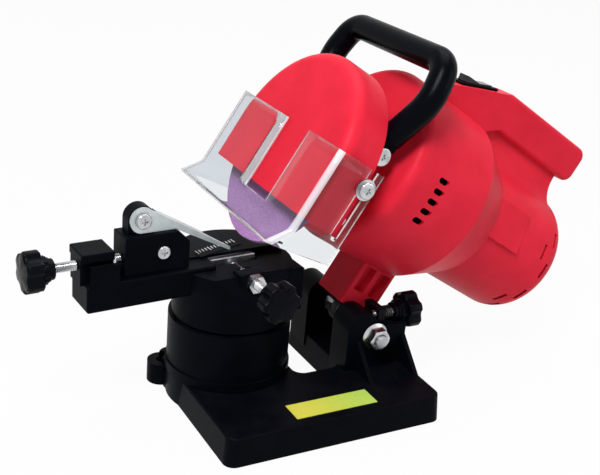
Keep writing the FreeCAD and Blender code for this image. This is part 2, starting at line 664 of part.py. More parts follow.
def make_base():
    """Hollow foot tray with the turret pedestal, the two hinge cheeks and the bench lugs."""
    body = Body("BaseStand")
    plan = body.sketch("XY")
    tray_outline(plan, "0")
    body.pad(plan, "base_height", taper="-base_taper")
    body.fillet("base_corner", lambda edge: edge.BoundBox.ZLength > number.base_height / 2)
    body.fillet("base_round", lies_in("z", number.base_height))
    pedestal = body.sketch("XY")
    circle(pedestal, "pedestal_radius")
    body.pad(pedestal, "pedestal_height")
    foot = body.sketch("XY", "base_height")
    circle(foot, "pedestal_radius + 1")
    body.pad(foot, "foot_flare + 1")
    for y in (f"-({CHEEK_OUT})", CHEEK_IN):
        cheek = body.sketch("XZ", y)
        outline(cheek, [("cheek_left", "base_height / 2"), ("base_rear - 1.5", "base_height / 2"),
                        ("base_rear - 1.5", "cheek_top"), ("cheek_left", "cheek_top")])
        body.pad(cheek, "cheek_width")
        hump = body.sketch("XZ", y)
        circle(hump, "hump_radius", ("cheek_left + hump_radius", "cheek_top"))
        body.pad(hump, "cheek_width")
    for x in ("cheek_left + 7", "base_rear - rib_thick - 1.5"):
        rib = body.sketch("YZ", x)
        outline(rib, [(f"-({CHEEK_OUT}) + 2", "base_height - 2"),
                      (f"-({CHEEK_OUT}) - rib_reach - 2", "base_height - 2"),
                      (f"-({CHEEK_OUT}) + 2", "rib_top + 2")])
        body.pad(rib, "rib_thick")
    hollow = body.sketch("XY")
    tray_outline(hollow, "base_wall + base_height * tan(base_taper)")
    body.pocket(hollow, "base_height - base_wall")
    core = body.sketch("XY")
    circle(core, "pedestal_radius - base_wall")
    body.pocket(core, "pedestal_height - pedestal_roof")
    for low, high in ((f"-({CHEEK_OUT}) + base_wall", f"-({CHEEK_IN}) - base_wall"),
                      (f"{CHEEK_IN} + base_wall", f"{CHEEK_OUT} - base_wall")):
        relief = body.sketch("XY", "base_wall")
        outline(relief, [("cheek_left + base_wall", low), ("base_rear - 1.5 - base_wall", low),
                         ("base_rear - 1.5 - base_wall", high), ("cheek_left + base_wall", high)])
        body.pocket(relief, "hinge_z - bolt_radius - 2 * base_wall")
    lugs = body.sketch("XY")
    circle(lugs, "lug_radius", ("-base_front + 2", "front_lug_y"))
    circle(lugs, "lug_radius", ("rear_lug_x", "rear_leg_far"))
    body.pad(lugs, "lug_height")
    screw_holes = body.sketch("XY")
    circle(screw_holes, "lug_hole", ("-base_front + 2", "front_lug_y"))
    circle(screw_holes, "lug_hole", ("rear_lug_x", "rear_leg_far"))
    body.pocket(screw_holes, "base_height + foot_flare + 2")
    lock_hole = body.sketch("XY", "pedestal_height / 2")
    circle(lock_hole, "screw_radius + thread_fit")
    body.pocket(lock_hole, "pedestal_height")
    pivot_hole = body.sketch("XZ", f"-({CHEEK_OUT}) - 1")
    circle(pivot_hole, "bolt_radius + bolt_fit", PIVOT)
    body.pocket(pivot_hole, f"2 * ({CHEEK_OUT} + 1)")
    for start, radius in (("lug_left + lug_thick - 0.5", "stop_spring_radius + spring_wire + stop_air"),
                          ("stop_knob_x - knob_thick - hub_length - 1", "hub_radius + stop_air")):
        channel = body.sketch("YZ", start)
        circle(channel, radius, ("-stop_y", "stop_z"))
        body.pocket(channel, f"base_rear + 5 - ({start})")
    node("base_stand", "bench", body.item)


def make_base_fittings():
    """Label, pivot bolt with its nut and thrust washers, and the head return spring."""
    label = box(("label_left", "label_left + label_length"),
                ("-base_near + label_inset", "-base_near + label_inset + label_width"),
                ("base_height", "base_height + label_thick"))
    node("blank_label", "bench", label)
    shank = rod("y", "bolt_radius", PIVOT, f"-({CHEEK_OUT}) - 10", f"{CHEEK_OUT} + 1")
    head = hexagon("y", "spindle_nut_flats", PIVOT, CHEEK_OUT, f"{CHEEK_OUT} + 5.3")
    node("pivot_bolt", "bench", fuse(shank, head))
    collar = rod("y", "bolt_radius + 5", PIVOT, f"-({CHEEK_OUT}) - 1.6", f"-({CHEEK_OUT})")
    hexes = hexagon("y", "spindle_nut_flats", PIVOT, f"-({CHEEK_OUT}) - 8", f"-({CHEEK_OUT}) - 1")
    bore = rod("y", "bolt_radius + thread_fit", PIVOT, f"-({CHEEK_OUT}) - 9", f"-({CHEEK_OUT}) + 1")
    node("pivot_flange_nut", "bench", cut(fuse(collar, hexes), bore))
    washers = [ring("y", "washer_radius", "bolt_radius + bolt_fit", PIVOT, start, f"{start} + washer_thick")
               for start in (f"-({CHEEK_IN}) + side_gap", "arm_half + side_gap")]
    node("pivot_washers", "bench", *washers)


SPRING_HALF = 6.0
SPRING_RADIUS = 8.4
SPRING_WIRE = 1.1


def make_return_spring():
    """Torsion spring round the pivot bolt; one leg stands on the tray, one lifts the arm."""
    turns = 4.5
    winding = coil("y", (number.hinge_x, number.hinge_z), -SPRING_HALF, SPRING_HALF, turns,
                   SPRING_RADIUS, SPRING_WIRE)
    foot = rod("z", SPRING_WIRE, (f"hinge_x + {SPRING_RADIUS}", -SPRING_HALF),
               "base_height", "hinge_z")
    lifter = rod("z", SPRING_WIRE, (f"hinge_x - {SPRING_RADIUS}", SPRING_HALF),
                 "hinge_z", f"hinge_z + {SPRING_RADIUS} / 2")
    node("return_spring", "bench", fuse(winding, foot, lifter))


# ---------------------------------------------------------------------------------------------
# Vise: turret, arm, jaws, chain stop
# ---------------------------------------------------------------------------------------------
TURRET_LOW = "pedestal_height + swivel_gap"
JAW_SLOT_NEAR = "jaw_gap + jaw_thick + jaw_travel + slide_gap"
EAR_FAR = "ear_near - ear_depth"
CLAMP = ("-clamp_x", "clamp_z")
ADJUST = ("0", "screw_z")


def make_turret():
    """Turret with the jaw seat, the clamp wall, the arm and the bracket of the adjusting screw."""
    drum = fuse(rod("z", "turret_radius", ("0", "0"), f"{TURRET_LOW} + shadow_gap", "turret_top"),
                rod("z", "turret_radius - 7", ("0", "0"), TURRET_LOW, f"{TURRET_LOW} + shadow_gap + 1"))
    facet = box(("-turret_radius - 1", "turret_radius + 1"), ("-2 * turret_radius", "-facet_start"),
                ("turret_top", "turret_top + 2 * facet_drop"))
    slope = turned(facet, "1; 0; 0", "atan(facet_drop / (turret_radius - facet_start))",
                   ("0", "-facet_start", "turret_top"))
    land = common(rod("z", "turret_radius", ("0", "0"), "turret_top - 1", "turret_top + ledge_rise"),
                  box(("-turret_radius + 8", "turret_radius"), ("jaw_thick + slide_gap", "turret_radius"),
                      ("turret_top - 1", "turret_top + ledge_rise")))
    stop_block = rounded(box(("turret_radius - 14", "turret_radius - 0.5"), ("-turret_radius + 10", "12"),
                             (f"{TURRET_LOW} + 6", "turret_top - 1.5")), 1, lambda edge: True)
    wall = rounded(box(("-clamp_x - ear_width / 2", "-clamp_x + ear_width / 2"),
                       ("-ear_near", f"-({EAR_FAR})"), ("turret_top - 20", "jaw_top")),
                   1.5, lies_in("z", number.jaw_top))
    arm = rounded(box(("-arm_front", "-turret_radius / 2"), ("-arm_width / 2", "arm_width / 2"),
                      ("arm_bottom", "arm_top")), 1.5,
                  lambda edge: edge.BoundBox.XMin < -number.turret_radius)
    block = box(("-bracket_front", "-bracket_front + bracket_length"), ("-bracket_half", "bracket_half"),
                ("arm_top - 1", "bracket_top - 1"))
    flange = rounded(box(("-bracket_front", "-bracket_front + bracket_length"),
                         ("-flange_half", "flange_half"), ("bracket_top - flange_thick", "bracket_top")),
                     1, lambda edge: True)
    fences = [box(("-arm_front + 2", "-rail_front"), sides, ("arm_top - 1", "fence_top"))
              for sides in (("-arm_width / 2", "-arm_width / 2 + fence_thick"),
                            ("arm_width / 2 - fence_thick", "arm_width / 2"))]
    solid = fuse(cut(drum, slope), land, stop_block, wall, arm, block, flange, *fences)
    jaw_slot = box(("-jaw_left - slide_gap", "jaw_right + slide_gap"),
                   (f"-({JAW_SLOT_NEAR})", "jaw_thick + slide_gap"),
                   ("jaw_top - jaw_height - slide_gap", "turret_top + ledge_rise + 1"))
    rail_slot = box(("-rail_front", "-rail_rear"), ("-rail_width / 2", "rail_width / 2"),
                    ("arm_top - rail_depth", "arm_top + 1"))
    adjust_bore = rod("x", "screw_radius + thread_fit", ADJUST, "-bracket_front - 1", "-rail_front + 1")
    clamp_bore = rod("y", "screw_radius + thread_fit", CLAMP, "-turret_radius - 1", f"-({JAW_SLOT_NEAR}) + 1")
    trough = box(("-clamp_x - 5", "-clamp_x + 5"), (f"-({EAR_FAR}) - 0.01", f"-({EAR_FAR}) + 4"),
                 ("clamp_z - screw_radius - 1.5", "turret_top + 1"))
    nut_well = rod("y", "nut_flats / sqrt(3) + slide_gap", CLAMP, "-turret_radius - 1", "-ear_near")
    stud_bore = rod("z", "screw_radius + thread_fit", ("0", "0"), f"{TURRET_LOW} - 1",
                    "jaw_top - jaw_height - 5")
    node("vise_turret", "vise",
         cut(solid, jaw_slot, rail_slot, adjust_bore, clamp_bore, trough, nut_well, stud_bore))


def make_vise_fittings():
    """Scale, fixed jaw, clamp nut, adjusting nut and the stud, sleeve and knob of the angle lock."""
    strip = box(("-scale_x", "-scale_x + scale_length"), ("0", "scale_width"),
                ("turret_top + ledge_rise", "turret_top + ledge_rise + label_thick"))
    node("angle_scale", "vise",
         turned(strip, "0; 0; 1", "scale_slope", ("-scale_x", "scale_near", "0")))
    node("fixed_jaw", "vise", jaw_plate("0", "jaw_thick"))
    nut = hexagon("y", "nut_flats", CLAMP, "-ear_near - nut_height", "-ear_near")
    node("clamp_nut", "vise",
         cut(nut, rod("y", "screw_radius + thread_fit", CLAMP, "-ear_near - nut_height - 1",
                      "-ear_near + 1")))
    nut = hexagon("x", "nut_flats", ADJUST, "-bracket_front + bracket_length",
                  "-bracket_front + bracket_length + nut_height / 2")
    bore = rod("x", "screw_radius + thread_fit", ADJUST, "-bracket_front + bracket_length - 1",
               "-bracket_front + bracket_length + nut_height")
    node("adjusting_nut", "vise", cut(nut, bore))
    node("angle_lock_stud", "vise",
         rod("z", "screw_radius", ("0", "0"), "lock_knob_low + knob_round + 1.6",
             "jaw_top - jaw_height - 5.2"))
    sleeve_low = "lock_knob_low + lock_knob_thick + hub_length + swivel_gap"
    node("angle_lock_sleeve", "vise",
         ring("z", "hub_radius", "screw_radius + thread_fit", ("0", "0"), sleeve_low,
              "pedestal_height - pedestal_roof - swivel_gap"))
    node("angle_lock_knob", "vise",
         star_knob("z", ("0", "0"), "lock_knob_low", 1, "lock_knob_radius", "lock_knob_thick"))


def jaw_plate(near, far):
    return box(("-jaw_left", "jaw_right"), (near, far), ("jaw_top - jaw_height", "jaw_top"))


def make_clamp():
    """Near jaw with the clamp screw that pushes it, and the screw's knob."""
    near = "-jaw_gap - jaw_thick"
    tip_hole = rod("y", "clamp_tip + thread_fit", CLAMP, f"{near} - 1", "-jaw_gap + 1")
    node("moving_jaw", "vise", cut(jaw_plate(near, "-jaw_gap"), tip_hole))
    thread = rod("y", "screw_radius", CLAMP, "-clamp_knob_face + knob_round + 1.6", f"{near} - 0.1")
    tip = rod("y", "clamp_tip", CLAMP, f"{near} - 1", "-jaw_gap - 0.4")
    node("clamp_screw", "vise", fuse(thread, tip))
    node("clamp_knob", "vise", star_knob("y", CLAMP, "-clamp_knob_face", 1))


def make_chain_stop():
    """Carrier on the arm with its screws, the adjusting screw with its knob, and the pawl."""
    low = "arm_top + slide_gap"
    body = Body("Carrier")
    profile = body.sketch("XZ", "-carrier_half")
    outline(profile, [("-carrier_front", low), ("-carrier_rear", low),
                      ("-carrier_rear", "carrier_top - carrier_chamfer"),
                      ("-carrier_rear - carrier_chamfer", "carrier_top"), ("-carrier_front", "carrier_top")])
    body.pad(profile, "2 * carrier_half")
    body.fillet(0.8, lambda edge: edge.BoundBox.ZMin > number.arm_top + 2)
    ear = body.sketch("XZ", "-ear_half")
    outline(ear, [("-pivot_x - ear_radius", "carrier_top - 3"), ("-pivot_x + ear_radius", "carrier_top - 3"),
                  ("-pivot_x + ear_radius", "pivot_z"), ("-pivot_x - ear_radius", "pivot_z")])
    body.pad(ear, "2 * ear_half")
    crown = body.sketch("XZ", "-ear_half")
    circle(crown, "ear_radius", ("-pivot_x", "pivot_z"))
    body.pad(crown, "2 * ear_half")
    keel = body.sketch("XY", "arm_top - rail_depth + slide_gap")
    half = "rail_width / 2 - slide_gap"
    outline(keel, [("-keel_front", f"-({half})"), ("-keel_rear", f"-({half})"),
                   ("-keel_rear", half), ("-keel_front", half)])
    body.pad(keel, "rail_depth + 1")
    adjust = rod("x", "screw_radius + thread_fit", ADJUST, "-carrier_front - 1", "-adjust_end + 0.3")
    retainer = rod("y", "small_screw + thread_fit", ("-retainer_x", "retainer_z"), "-carrier_half - 1", "4")
    pivot = rod("y", "small_screw + thread_fit", ("-pivot_x", "pivot_z"), "-ear_half - 1", "ear_half + 1")
    node("chain_stop_carrier", "vise", cut(body.item, adjust, retainer, pivot))
    head = rounded(rod("y", "retainer_head", ("-retainer_x", "retainer_z"), "-carrier_half - 2.2",
                       "-carrier_half"), 0.8, lies_in("y", -number.carrier_half - 2.2))
    shank = rod("y", "small_screw", ("-retainer_x", "retainer_z"), "-carrier_half - 1", "3.8")
    drive = crosshead("-retainer_x", "-carrier_half - 2.2", "retainer_z")
    node("screw_retainer", "vise", cut(fuse(head, shank), drive))
    screw = rod("x", "screw_radius", ADJUST, "-knob_face + knob_round + 1.6", "-adjust_end")
    groove = ring("x", "screw_radius + 1", "groove_radius", ADJUST, "-retainer_x - small_screw - 0.4",
                  "-retainer_x + small_screw + 0.4")
    node("adjusting_screw", "vise", cut(screw, groove))
    node("adjusting_knob", "vise", star_knob("x", ADJUST, "-knob_face", 1))
    make_pawl()


def crosshead(x, y, z):
    """Cross recess of a screw head that faces the near side."""
    return fuse(box((f"{x} - 2", f"{x} + 2"), (f"{y} - 1", f"{y} + 1.2"), (f"{z} - 0.5", f"{z} + 0.5")),
                box((f"{x} - 0.5", f"{x} + 0.5"), (f"{y} - 1", f"{y} + 1.2"), (f"{z} - 2", f"{z} + 2")))


def make_pawl():
    """Sheet pawl: a flat side plate with a folded rim along its upper edge, and its pivot screw."""
    plate_near = "-ear_half - slide_gap - pawl_thick"
    body = Body("Pawl")
    plate = body.sketch("XZ", plate_near)
    rise = "(pawl_fold_x - pawl_tip_x)"
    rim_z = f"pawl_tip_z + {rise} * tan(pawl_slope)"
    outline(plate, [("-pivot_x", "pivot_z - pawl_round"), ("-pawl_knee_x", "pivot_z - pawl_round"),
                    ("-pawl_tip_x", "pawl_tip_z - 2"), ("-pawl_tip_x", "pawl_tip_z"),
                    ("-pawl_fold_x", rim_z), ("-pivot_x + 2", "pivot_z + pawl_round - 0.3")])
    body.pad(plate, "pawl_thick")
    heel = body.sketch("XZ", plate_near)
    circle(heel, "pawl_round", ("-pivot_x", "pivot_z"))
    body.pad(heel, "pawl_thick")
    rim = body.sketch("XZ", plate_near)
    outline(rim, [("-pawl_tip_x", "pawl_tip_z"), ("-pawl_fold_x", rim_z),
                  ("-pawl_fold_x", f"{rim_z} - pawl_thick"), ("-pawl_tip_x", "pawl_tip_z - pawl_thick")])
    body.pad(rim, "pawl_rim")
    hole = body.sketch("XZ", f"{plate_near} - 1")
    circle(hole, "small_screw + thread_fit", ("-pivot_x", "pivot_z"))
    body.pocket(hole, "pawl_thick + 2")
    taper = turned(box(("-pawl_tip_x - 16", "-pawl_tip_x + 6"), ("0", "pawl_rim"),
                       ("pawl_tip_z - 8", "pawl_tip_z + 16")),
                   "0; 0; 1", "-16", ("-pawl_tip_x - 16", f"{plate_near} + pawl_rim - 2", "0"))
    node("chain_stop_pawl", "vise", cut(body.item, taper))
    head_near = f"{plate_near} - slide_gap - 2.4"
    head = rounded(rod("y", "pawl_screw_head", ("-pivot_x", "pivot_z"), head_near, f"{head_near} + 2.4"),
                   0.8, lies_in("y", -number.ear_half - 2 * number.slide_gap - number.pawl_thick - 2.4))
    shank = rod("y", "small_screw", ("-pivot_x", "pivot_z"), f"{head_near} + 1", "ear_half")
    node("pawl_pivot_screw", "vise", cut(fuse(head, shank), crosshead("-pivot_x", head_near, "pivot_z")))


# ---------------------------------------------------------------------------------------------
# Head: x is the wheel axis towards the motor, z runs up the wheel plane
# ---------------------------------------------------------------------------------------------
HINGE = ("(hinge_x - wheel_x) * cos(head_tilt) - (hinge_z - wheel_z) * sin(head_tilt)",
         "(hinge_x - wheel_x) * sin(head_tilt) + (hinge_z - wheel_z) * cos(head_tilt)")
WHEEL_AXIS = ("0", "0")
MOTOR_AXIS = ("0", "motor_v")
MOTOR_BALL_REAR = "(barrel_rear - motor_ball_inset)"
HANDLE_SCREW = ("handle_w", "handle_screw_v")
GLAND = ("rail_end - 22", "rail_low + 9")
RAMP_ANGLE = "atan((rail_high - ramp_low) / (ramp_end - ramp_start))"
RAMP_MIDDLE = ("(ramp_start + ramp_end) / 2", "0", "(ramp_low + rail_high) / 2")
BRIDGE_SCREWS = [("96", "-45"), ("62", "-17"), ("62", "71"), ("120", "100"),
                 ("rail_end - rail_screw_inset", "101")]


def rail(inset):
    """Top rail with the sloping switch ramp, moved inwards by an inset."""
    body = Body("Rail")
    side = body.sketch("XZ", f"-rail_half + {inset}")
    outline(side, [
        (f"ramp_start + {inset}", "rail_low - 10"),
        (f"ramp_start + {inset}", f"ramp_low - {inset}"),
        (f"ramp_end - ({inset}) / 3", f"rail_high - ({inset})"),
        (f"rail_end - ({inset})", f"rail_high - ({inset})"),
        (f"rail_end - ({inset})", f"rail_low + {inset}"),
        ("drum_rear + 16", f"rail_low + {inset}"),
        ("drum_rear", "rail_low - 10"),
    ])
    body.pad(side, f"2 * (rail_half - ({inset}))")
    if inset == "0":
        body.fillet("rail_round", lambda edge: edge.BoundBox.XMin > number.rail_end - 1
                    and edge.BoundBox.YLength > 1)
        body.fillet("rail_round / 2", lambda edge: edge.BoundBox.ZMin > number.rail_high - 1
                    and edge.BoundBox.YLength < 0.01)
    return body.item


def housing_form(inset):
    """Closed outer form of the head housing, moved inwards by an inset."""
    depth = SIZE[inset] if inset in SIZE else float(inset)
    drum = rod("x", f"drum_radius - ({inset})", MOTOR_AXIS, f"drum_front + {inset}", "drum_rear")
    barrel = rod("x", f"barrel_radius - ({inset})", MOTOR_AXIS, "drum_rear", f"barrel_rear - ({inset})")
    drum = rounded(drum, number.drum_round - depth, lies_in("x", number.drum_front + depth))
    barrel = rounded(barrel, number.barrel_round - depth, lies_in("x", number.barrel_rear - depth))
    shoulder = cone("x", f"drum_radius - ({inset})", f"barrel_radius - ({inset})", MOTOR_AXIS,
                    "drum_rear", "barrel_front")
    neck = box((f"guard_back + {inset}", "drum_front + drum_round + 1"),
               (f"-neck_half + {inset}", f"neck_half - ({inset})"),
               (f"-neck_low + {inset}", f"neck_high - ({inset})"))
    if inset == "0":
        neck = rounded(neck, 5, runs_along("x"))
    return [drum, shoulder, barrel, neck, rail(inset)]


def slot_hole(axis, along_axis, width, length, centre, start, end):
    """Round-ended hole along an axis, its long side along another."""
    reach = f"({length} - {width}) / 2"
    lows = [f"{c} - ({width}) / 2" for c in centre]
    highs = [f"{c} + ({width}) / 2" for c in centre]
    axes = [a for a in "xyz" if a != axis]
    where = axes.index(along_axis)
    ends = []
    for sign in "-+":
        middle = list(centre)
        middle[where] = f"{centre[where]} {sign} {reach}"
        ends.append(rod(axis, f"({width}) / 2", middle, start, end))
    lows[where], highs[where] = f"{centre[where]} - {reach}", f"{centre[where]} + {reach}"
    sides = dict(zip(axes, zip(lows, highs)))
    sides[axis] = (start, end)
    return fuse(box(sides["x"], sides["y"], sides["z"]), *ends)


def web_fairing():
    """Body under the top rail, with a hollow curve on each side from the web to the barrel."""
    reach = "sqrt((barrel_radius + web_fairing)^2 - (web_half + web_fairing)^2)"
    foot = "(web_half + web_fairing) * barrel_radius / (barrel_radius + web_fairing)"
    rise = f"{reach} * barrel_radius / (barrel_radius + web_fairing)"
    block = box(("drum_rear - 10", "web_rear"), (f"-{foot}", foot),
                (f"motor_v + {rise} - 3", f"motor_v + {reach}"))
    curves = [rod("x", "web_fairing", (side, f"motor_v + {reach}"), "drum_rear - 11", "web_rear + 1")
              for side in ("-web_half - web_fairing", "web_half + web_fairing")]
    return cut(block, *curves)


TOE_RADIUS = f"({HINGE[0]} - arm_lower_front)"


def arm_toe():
    """Front of the arm carried on round the hinge, below the level of its axis."""
    return toe_quarter(TOE_RADIUS, "arm_half", "toe_drop")


def toe_hollow():
    """Room for the return spring behind the wall of the toe."""
    return toe_quarter(f"({TOE_RADIUS} - toe_wall)", f"{SPRING_HALF} + 2", "toe_drop + 1")


def toe_quarter(radius, half, drop):
    """Lower front quarter of a disc about the hinge."""
    x, z = HINGE
    return common(rod("y", radius, HINGE, f"-({half})", half),
                  box((f"{x} - {radius} - 1", x), (f"-({half})", half), (f"{z} - ({drop})", z)))


def make_housing():
    """Two housing shells that meet on the middle plane, with the arm down to the hinge."""
    web = box(("drum_rear", "web_rear"), ("-web_half", "web_half"),
              ("motor_v + barrel_radius - 8", "rail_low + 3"))
    arm = rounded(box(("arm_lower_front", "arm_lower_rear"), ("-arm_half", "arm_half"),
                      (HINGE[1], "motor_v - drum_radius + 12")), 2, runs_along("z"))
    boss = rod("y", "arm_boss", HINGE, "-arm_half", "arm_half")
    panel = turned(box(("panel_front", "panel_front + panel_length"),
                       ("-barrel_radius - panel_rise", "-barrel_radius + 8"),
                       ("motor_v - panel_width / 2", "motor_v + panel_width / 2")),
                   "1; 0; 0", "-panel_angle", ("0", "0", "motor_v"))
    lug = seen_from_head(rounded(
        box(("lug_left", "lug_left + lug_thick"), ("-stop_y - lug_reach", "-arm_half + 4"),
            ("lug_bottom", "lug_top")), 1, runs_along("x")))
    outer = fuse(*housing_form("0"), web, web_fairing(), arm, boss, arm_toe(), panel)
    hollow = fuse(*housing_form("case_wall"))
    posts = common(fuse(*[rod("y", "small_screw + 2.6", place, "-drum_radius", "drum_radius")
                          for place in BRIDGE_SCREWS[1:]]), fuse(*housing_form("0.1")))
    front_seat = rod("x", "ball_outer + case_wall", WHEEL_AXIS, "guard_back + 1", "ball_front + ball_width")
    rear_seat = rod("x", "motor_ball_outer + case_wall", MOTOR_AXIS, MOTOR_BALL_REAR, "barrel_rear - 1")
    handle_posts = [rod("y", "small_screw + 2.6", HANDLE_SCREW, low, high)
                    for low, high in (("-neck_half + 1", "-neck_half + 10"),
                                      ("neck_half - 10", "neck_half - 1"))]
    stator_seats = [ring("x", "barrel_radius - 1", "stator_radius + seat_fit", MOTOR_AXIS, start,
                         f"{start} + case_wall")
                    for start in ("barrel_front + 1", "stator_front + stator_length - 4")]
    shell = fuse(cut(outer, hollow), posts, front_seat, rear_seat, lug, *handle_posts, *stator_seats)
    bores = [
        rod("x", "ball_outer + seat_fit", WHEEL_AXIS, "ball_front", "ball_front + ball_width + 1"),
        rod("x", "spindle_radius + 1", WHEEL_AXIS, "guard_back - 1", "ball_front + 1"),
        rod("x", "motor_ball_outer + seat_fit", MOTOR_AXIS, f"{MOTOR_BALL_REAR} - 1",
            f"{MOTOR_BALL_REAR} + ball_width - 1"),
        rod("x", "shaft_radius + 1", MOTOR_AXIS, MOTOR_BALL_REAR, "barrel_rear - case_wall + 0.5"),
        rod("y", "bolt_radius + bolt_fit", HINGE, "-arm_half - 1", "arm_half + 1"),
        rod("y", f"{SPRING_RADIUS} + 3", HINGE, f"-{SPRING_HALF} - 2", f"{SPRING_HALF} + 2"),
        box((f"{HINGE[0]} - 3", f"{HINGE[0]} + arm_boss + 1"), (f"-{SPRING_HALF} - 2", f"{SPRING_HALF} + 2"),
            (f"{HINGE[1]} - arm_boss - 1", f"{HINGE[1]} + 2")),
        toe_hollow(),
        seen_from_head(rod("x", "screw_radius + thread_fit", ("-stop_y", "stop_z"), "lug_left - 1",
                           "lug_left + lug_thick + 1")),
        turned(box(("(ramp_start + ramp_end) / 2 - switch_length / 2 + 2",
                    "(ramp_start + ramp_end) / 2 + switch_length / 2 - 2"),
                   ("-switch_width / 2 + 2", "switch_width / 2 - 2"),
                   ("(ramp_low + rail_high) / 2 - 12", "(ramp_low + rail_high) / 2 + 4")),
               "0; 1; 0", f"-{RAMP_ANGLE}", RAMP_MIDDLE),
        rod("y", "gland_stem + thread_fit", GLAND, "0", "rail_half + 1"),
        rod("y", "small_screw + thread_fit", HANDLE_SCREW, "-neck_half - 1", "neck_half + 1"),
    ]
    for place in BRIDGE_SCREWS:
        bores.append(rod("y", "small_screw + thread_fit", place, "-8", "drum_radius + 1"))
    for side in ("-", ""):
        for low, high in (("arm_lower_front + 3.5", "arm_lower_front + 12.5"),
                          ("arm_lower_front + 16.5", "arm_lower_rear - 3.5")):
            faces = ("-arm_half - 1", "-arm_half + arm_pocket") if side else (
                "arm_half - arm_pocket", "arm_half + 1")
            bores.append(box((low, high), faces, (f"{HINGE[1]} + arm_boss + 3", "motor_v - drum_radius + 1")))
    for index in range(int(number.vent_count)):
        level = f"39 - {index} * vent_pitch"
        bores.append(slot_hole("y", "x", "vent_width", "vent_length", ("vent_w", level),
                               "-drum_radius - 1", "-drum_radius + 12"))
    rings = [("end_vent_inset", angle) for angle in range(0, 360, 30)]
    rings += [("end_vent_inset + end_vent_step", angle) for angle in (75, 135, 225, 285)]
    for inset, angle in rings:
        slot = box((f"barrel_rear - ({inset})", f"barrel_rear - ({inset}) + end_vent_width"),
                   ("-end_vent_length / 2", "end_vent_length / 2"),
                   ("motor_v + barrel_radius - 6", "motor_v + barrel_radius + 1"))
        bores.append(turned(slot, "1; 0; 0", f"{angle}", ("0", "0", "motor_v")))
    whole = cut(shell, *bores)
    heads = [rod("y", "small_screw + 2", place, f"{top} - 3.2", "drum_radius + 1")
             for place, top in zip(BRIDGE_SCREWS, SCREW_TOPS)]
    reach = ("-guard_half", "rail_end + barrel_rear")
    node("housing_near", "head", common(whole, box(reach, ("-2 * drum_radius", "0"), reach)))
    node("housing_far", "head", common(cut(whole, *heads), box(reach, ("0", "2 * drum_radius"), reach)))


SCREW_TOPS = ["arm_half", "drum_screw_face", "drum_screw_face", "rail_half", "rail_half"]


def make_housing_fittings():
    """Housing screws, cord gland and switch."""
    screws = []
    for place, top in zip(BRIDGE_SCREWS, SCREW_TOPS):
        head = rod("y", "small_screw + 1.8", place, f"{top} - 3.1", f"{top} - 1")
        screws.append(fuse(head, rod("y", "small_screw", place, "-7.5", f"{top} - 3")))
    node("housing_screws", "head", *screws)
    collar = rod("y", "gland_radius", GLAND, "rail_half", "rail_half + 3")
    stem = rod("y", "gland_stem", GLAND, "rail_half - case_wall", "rail_half + 1")
    lead_hole = rod("y", "lead_hole", GLAND, "rail_half - case_wall - 1", "rail_half + 4")
    node("cord_gland", "head", cut(fuse(collar, stem), lead_hole))
    x, y, z = RAMP_MIDDLE
    bezel = rounded(box((f"{x} - switch_length / 2", f"{x} + switch_length / 2"),
                        ("-switch_width / 2", "switch_width / 2"), (z, f"{z} + switch_bezel")),
                    0.6, lambda edge: True)
    case = box((f"{x} - switch_length / 2 + 2.3", f"{x} + switch_length / 2 - 2.3"),
               ("-switch_width / 2 + 2.3", "switch_width / 2 - 2.3"), (f"{z} - 11", f"{z} + 0.5"))
    well = box((f"{x} - rocker_length / 2 - 0.6", f"{x} + rocker_length / 2 + 0.6"),
               ("-rocker_width / 2 - 0.2", "rocker_width / 2 + 0.2"), (f"{z} - 7", f"{z} + 5"))
    node("switch_body", "head",
         turned(cut(fuse(bezel, case), well), "0; 1; 0", f"-{RAMP_ANGLE}", RAMP_MIDDLE))
    make_rocker(x, z)


def make_rocker(x, z):
    """Rocker with two sloping faces, tipped to its OFF side."""
    body = Body("Rocker")
    side = body.sketch("XZ", "-rocker_width / 2")
    outline(side, [(f"{x} - rocker_length / 2 + 0.8", f"{z} + 0.4"), (f"{x} - 3", f"{z} - 4.6"),
                   (f"{x} + 3", f"{z} - 4.6"), (f"{x} + rocker_length / 2 - 0.8", f"{z} + 0.4"),
                   (f"{x} + rocker_length / 2 - 0.8", f"{z} + 4.4"), (x, f"{z} + 2.6"),
                   (f"{x} - rocker_length / 2 + 0.8", f"{z} + 4.4")])
    body.pad(side, "rocker_width")
    tipped = turned(body.item, "0; 1; 0", "rocker_tilt", RAMP_MIDDLE)
    node("switch_rocker", "head", turned(tipped, "0; 1; 0", f"-{RAMP_ANGLE}", RAMP_MIDDLE))


def dee(inset, low, start, end):
    """D-shaped block of the guard: straight sides below, a full arc above."""
    crown = common(rod("x", f"guard_half - ({inset})", ("0", "guard_arc_v"), start, end),
                   box((start, end), ("-guard_half", "guard_half"),
                       ("guard_arc_v - 1", "guard_arc_v + guard_half")))
    skirt = box((start, end), (f"-guard_half + {inset}", f"guard_half - ({inset})"), (low, "guard_arc_v"))
    return fuse(crown, skirt)


GUARD_SCREWS = [
    (f"{side}(guard_half - guard_screw_in){share}", level)
    for share, level in (("", "-guard_screw_low"),
                         (" * cos(guard_screw_angle)",
                          "guard_arc_v + (guard_half - guard_screw_in) * sin(guard_screw_angle)"))
    for side in ("-", "")
]


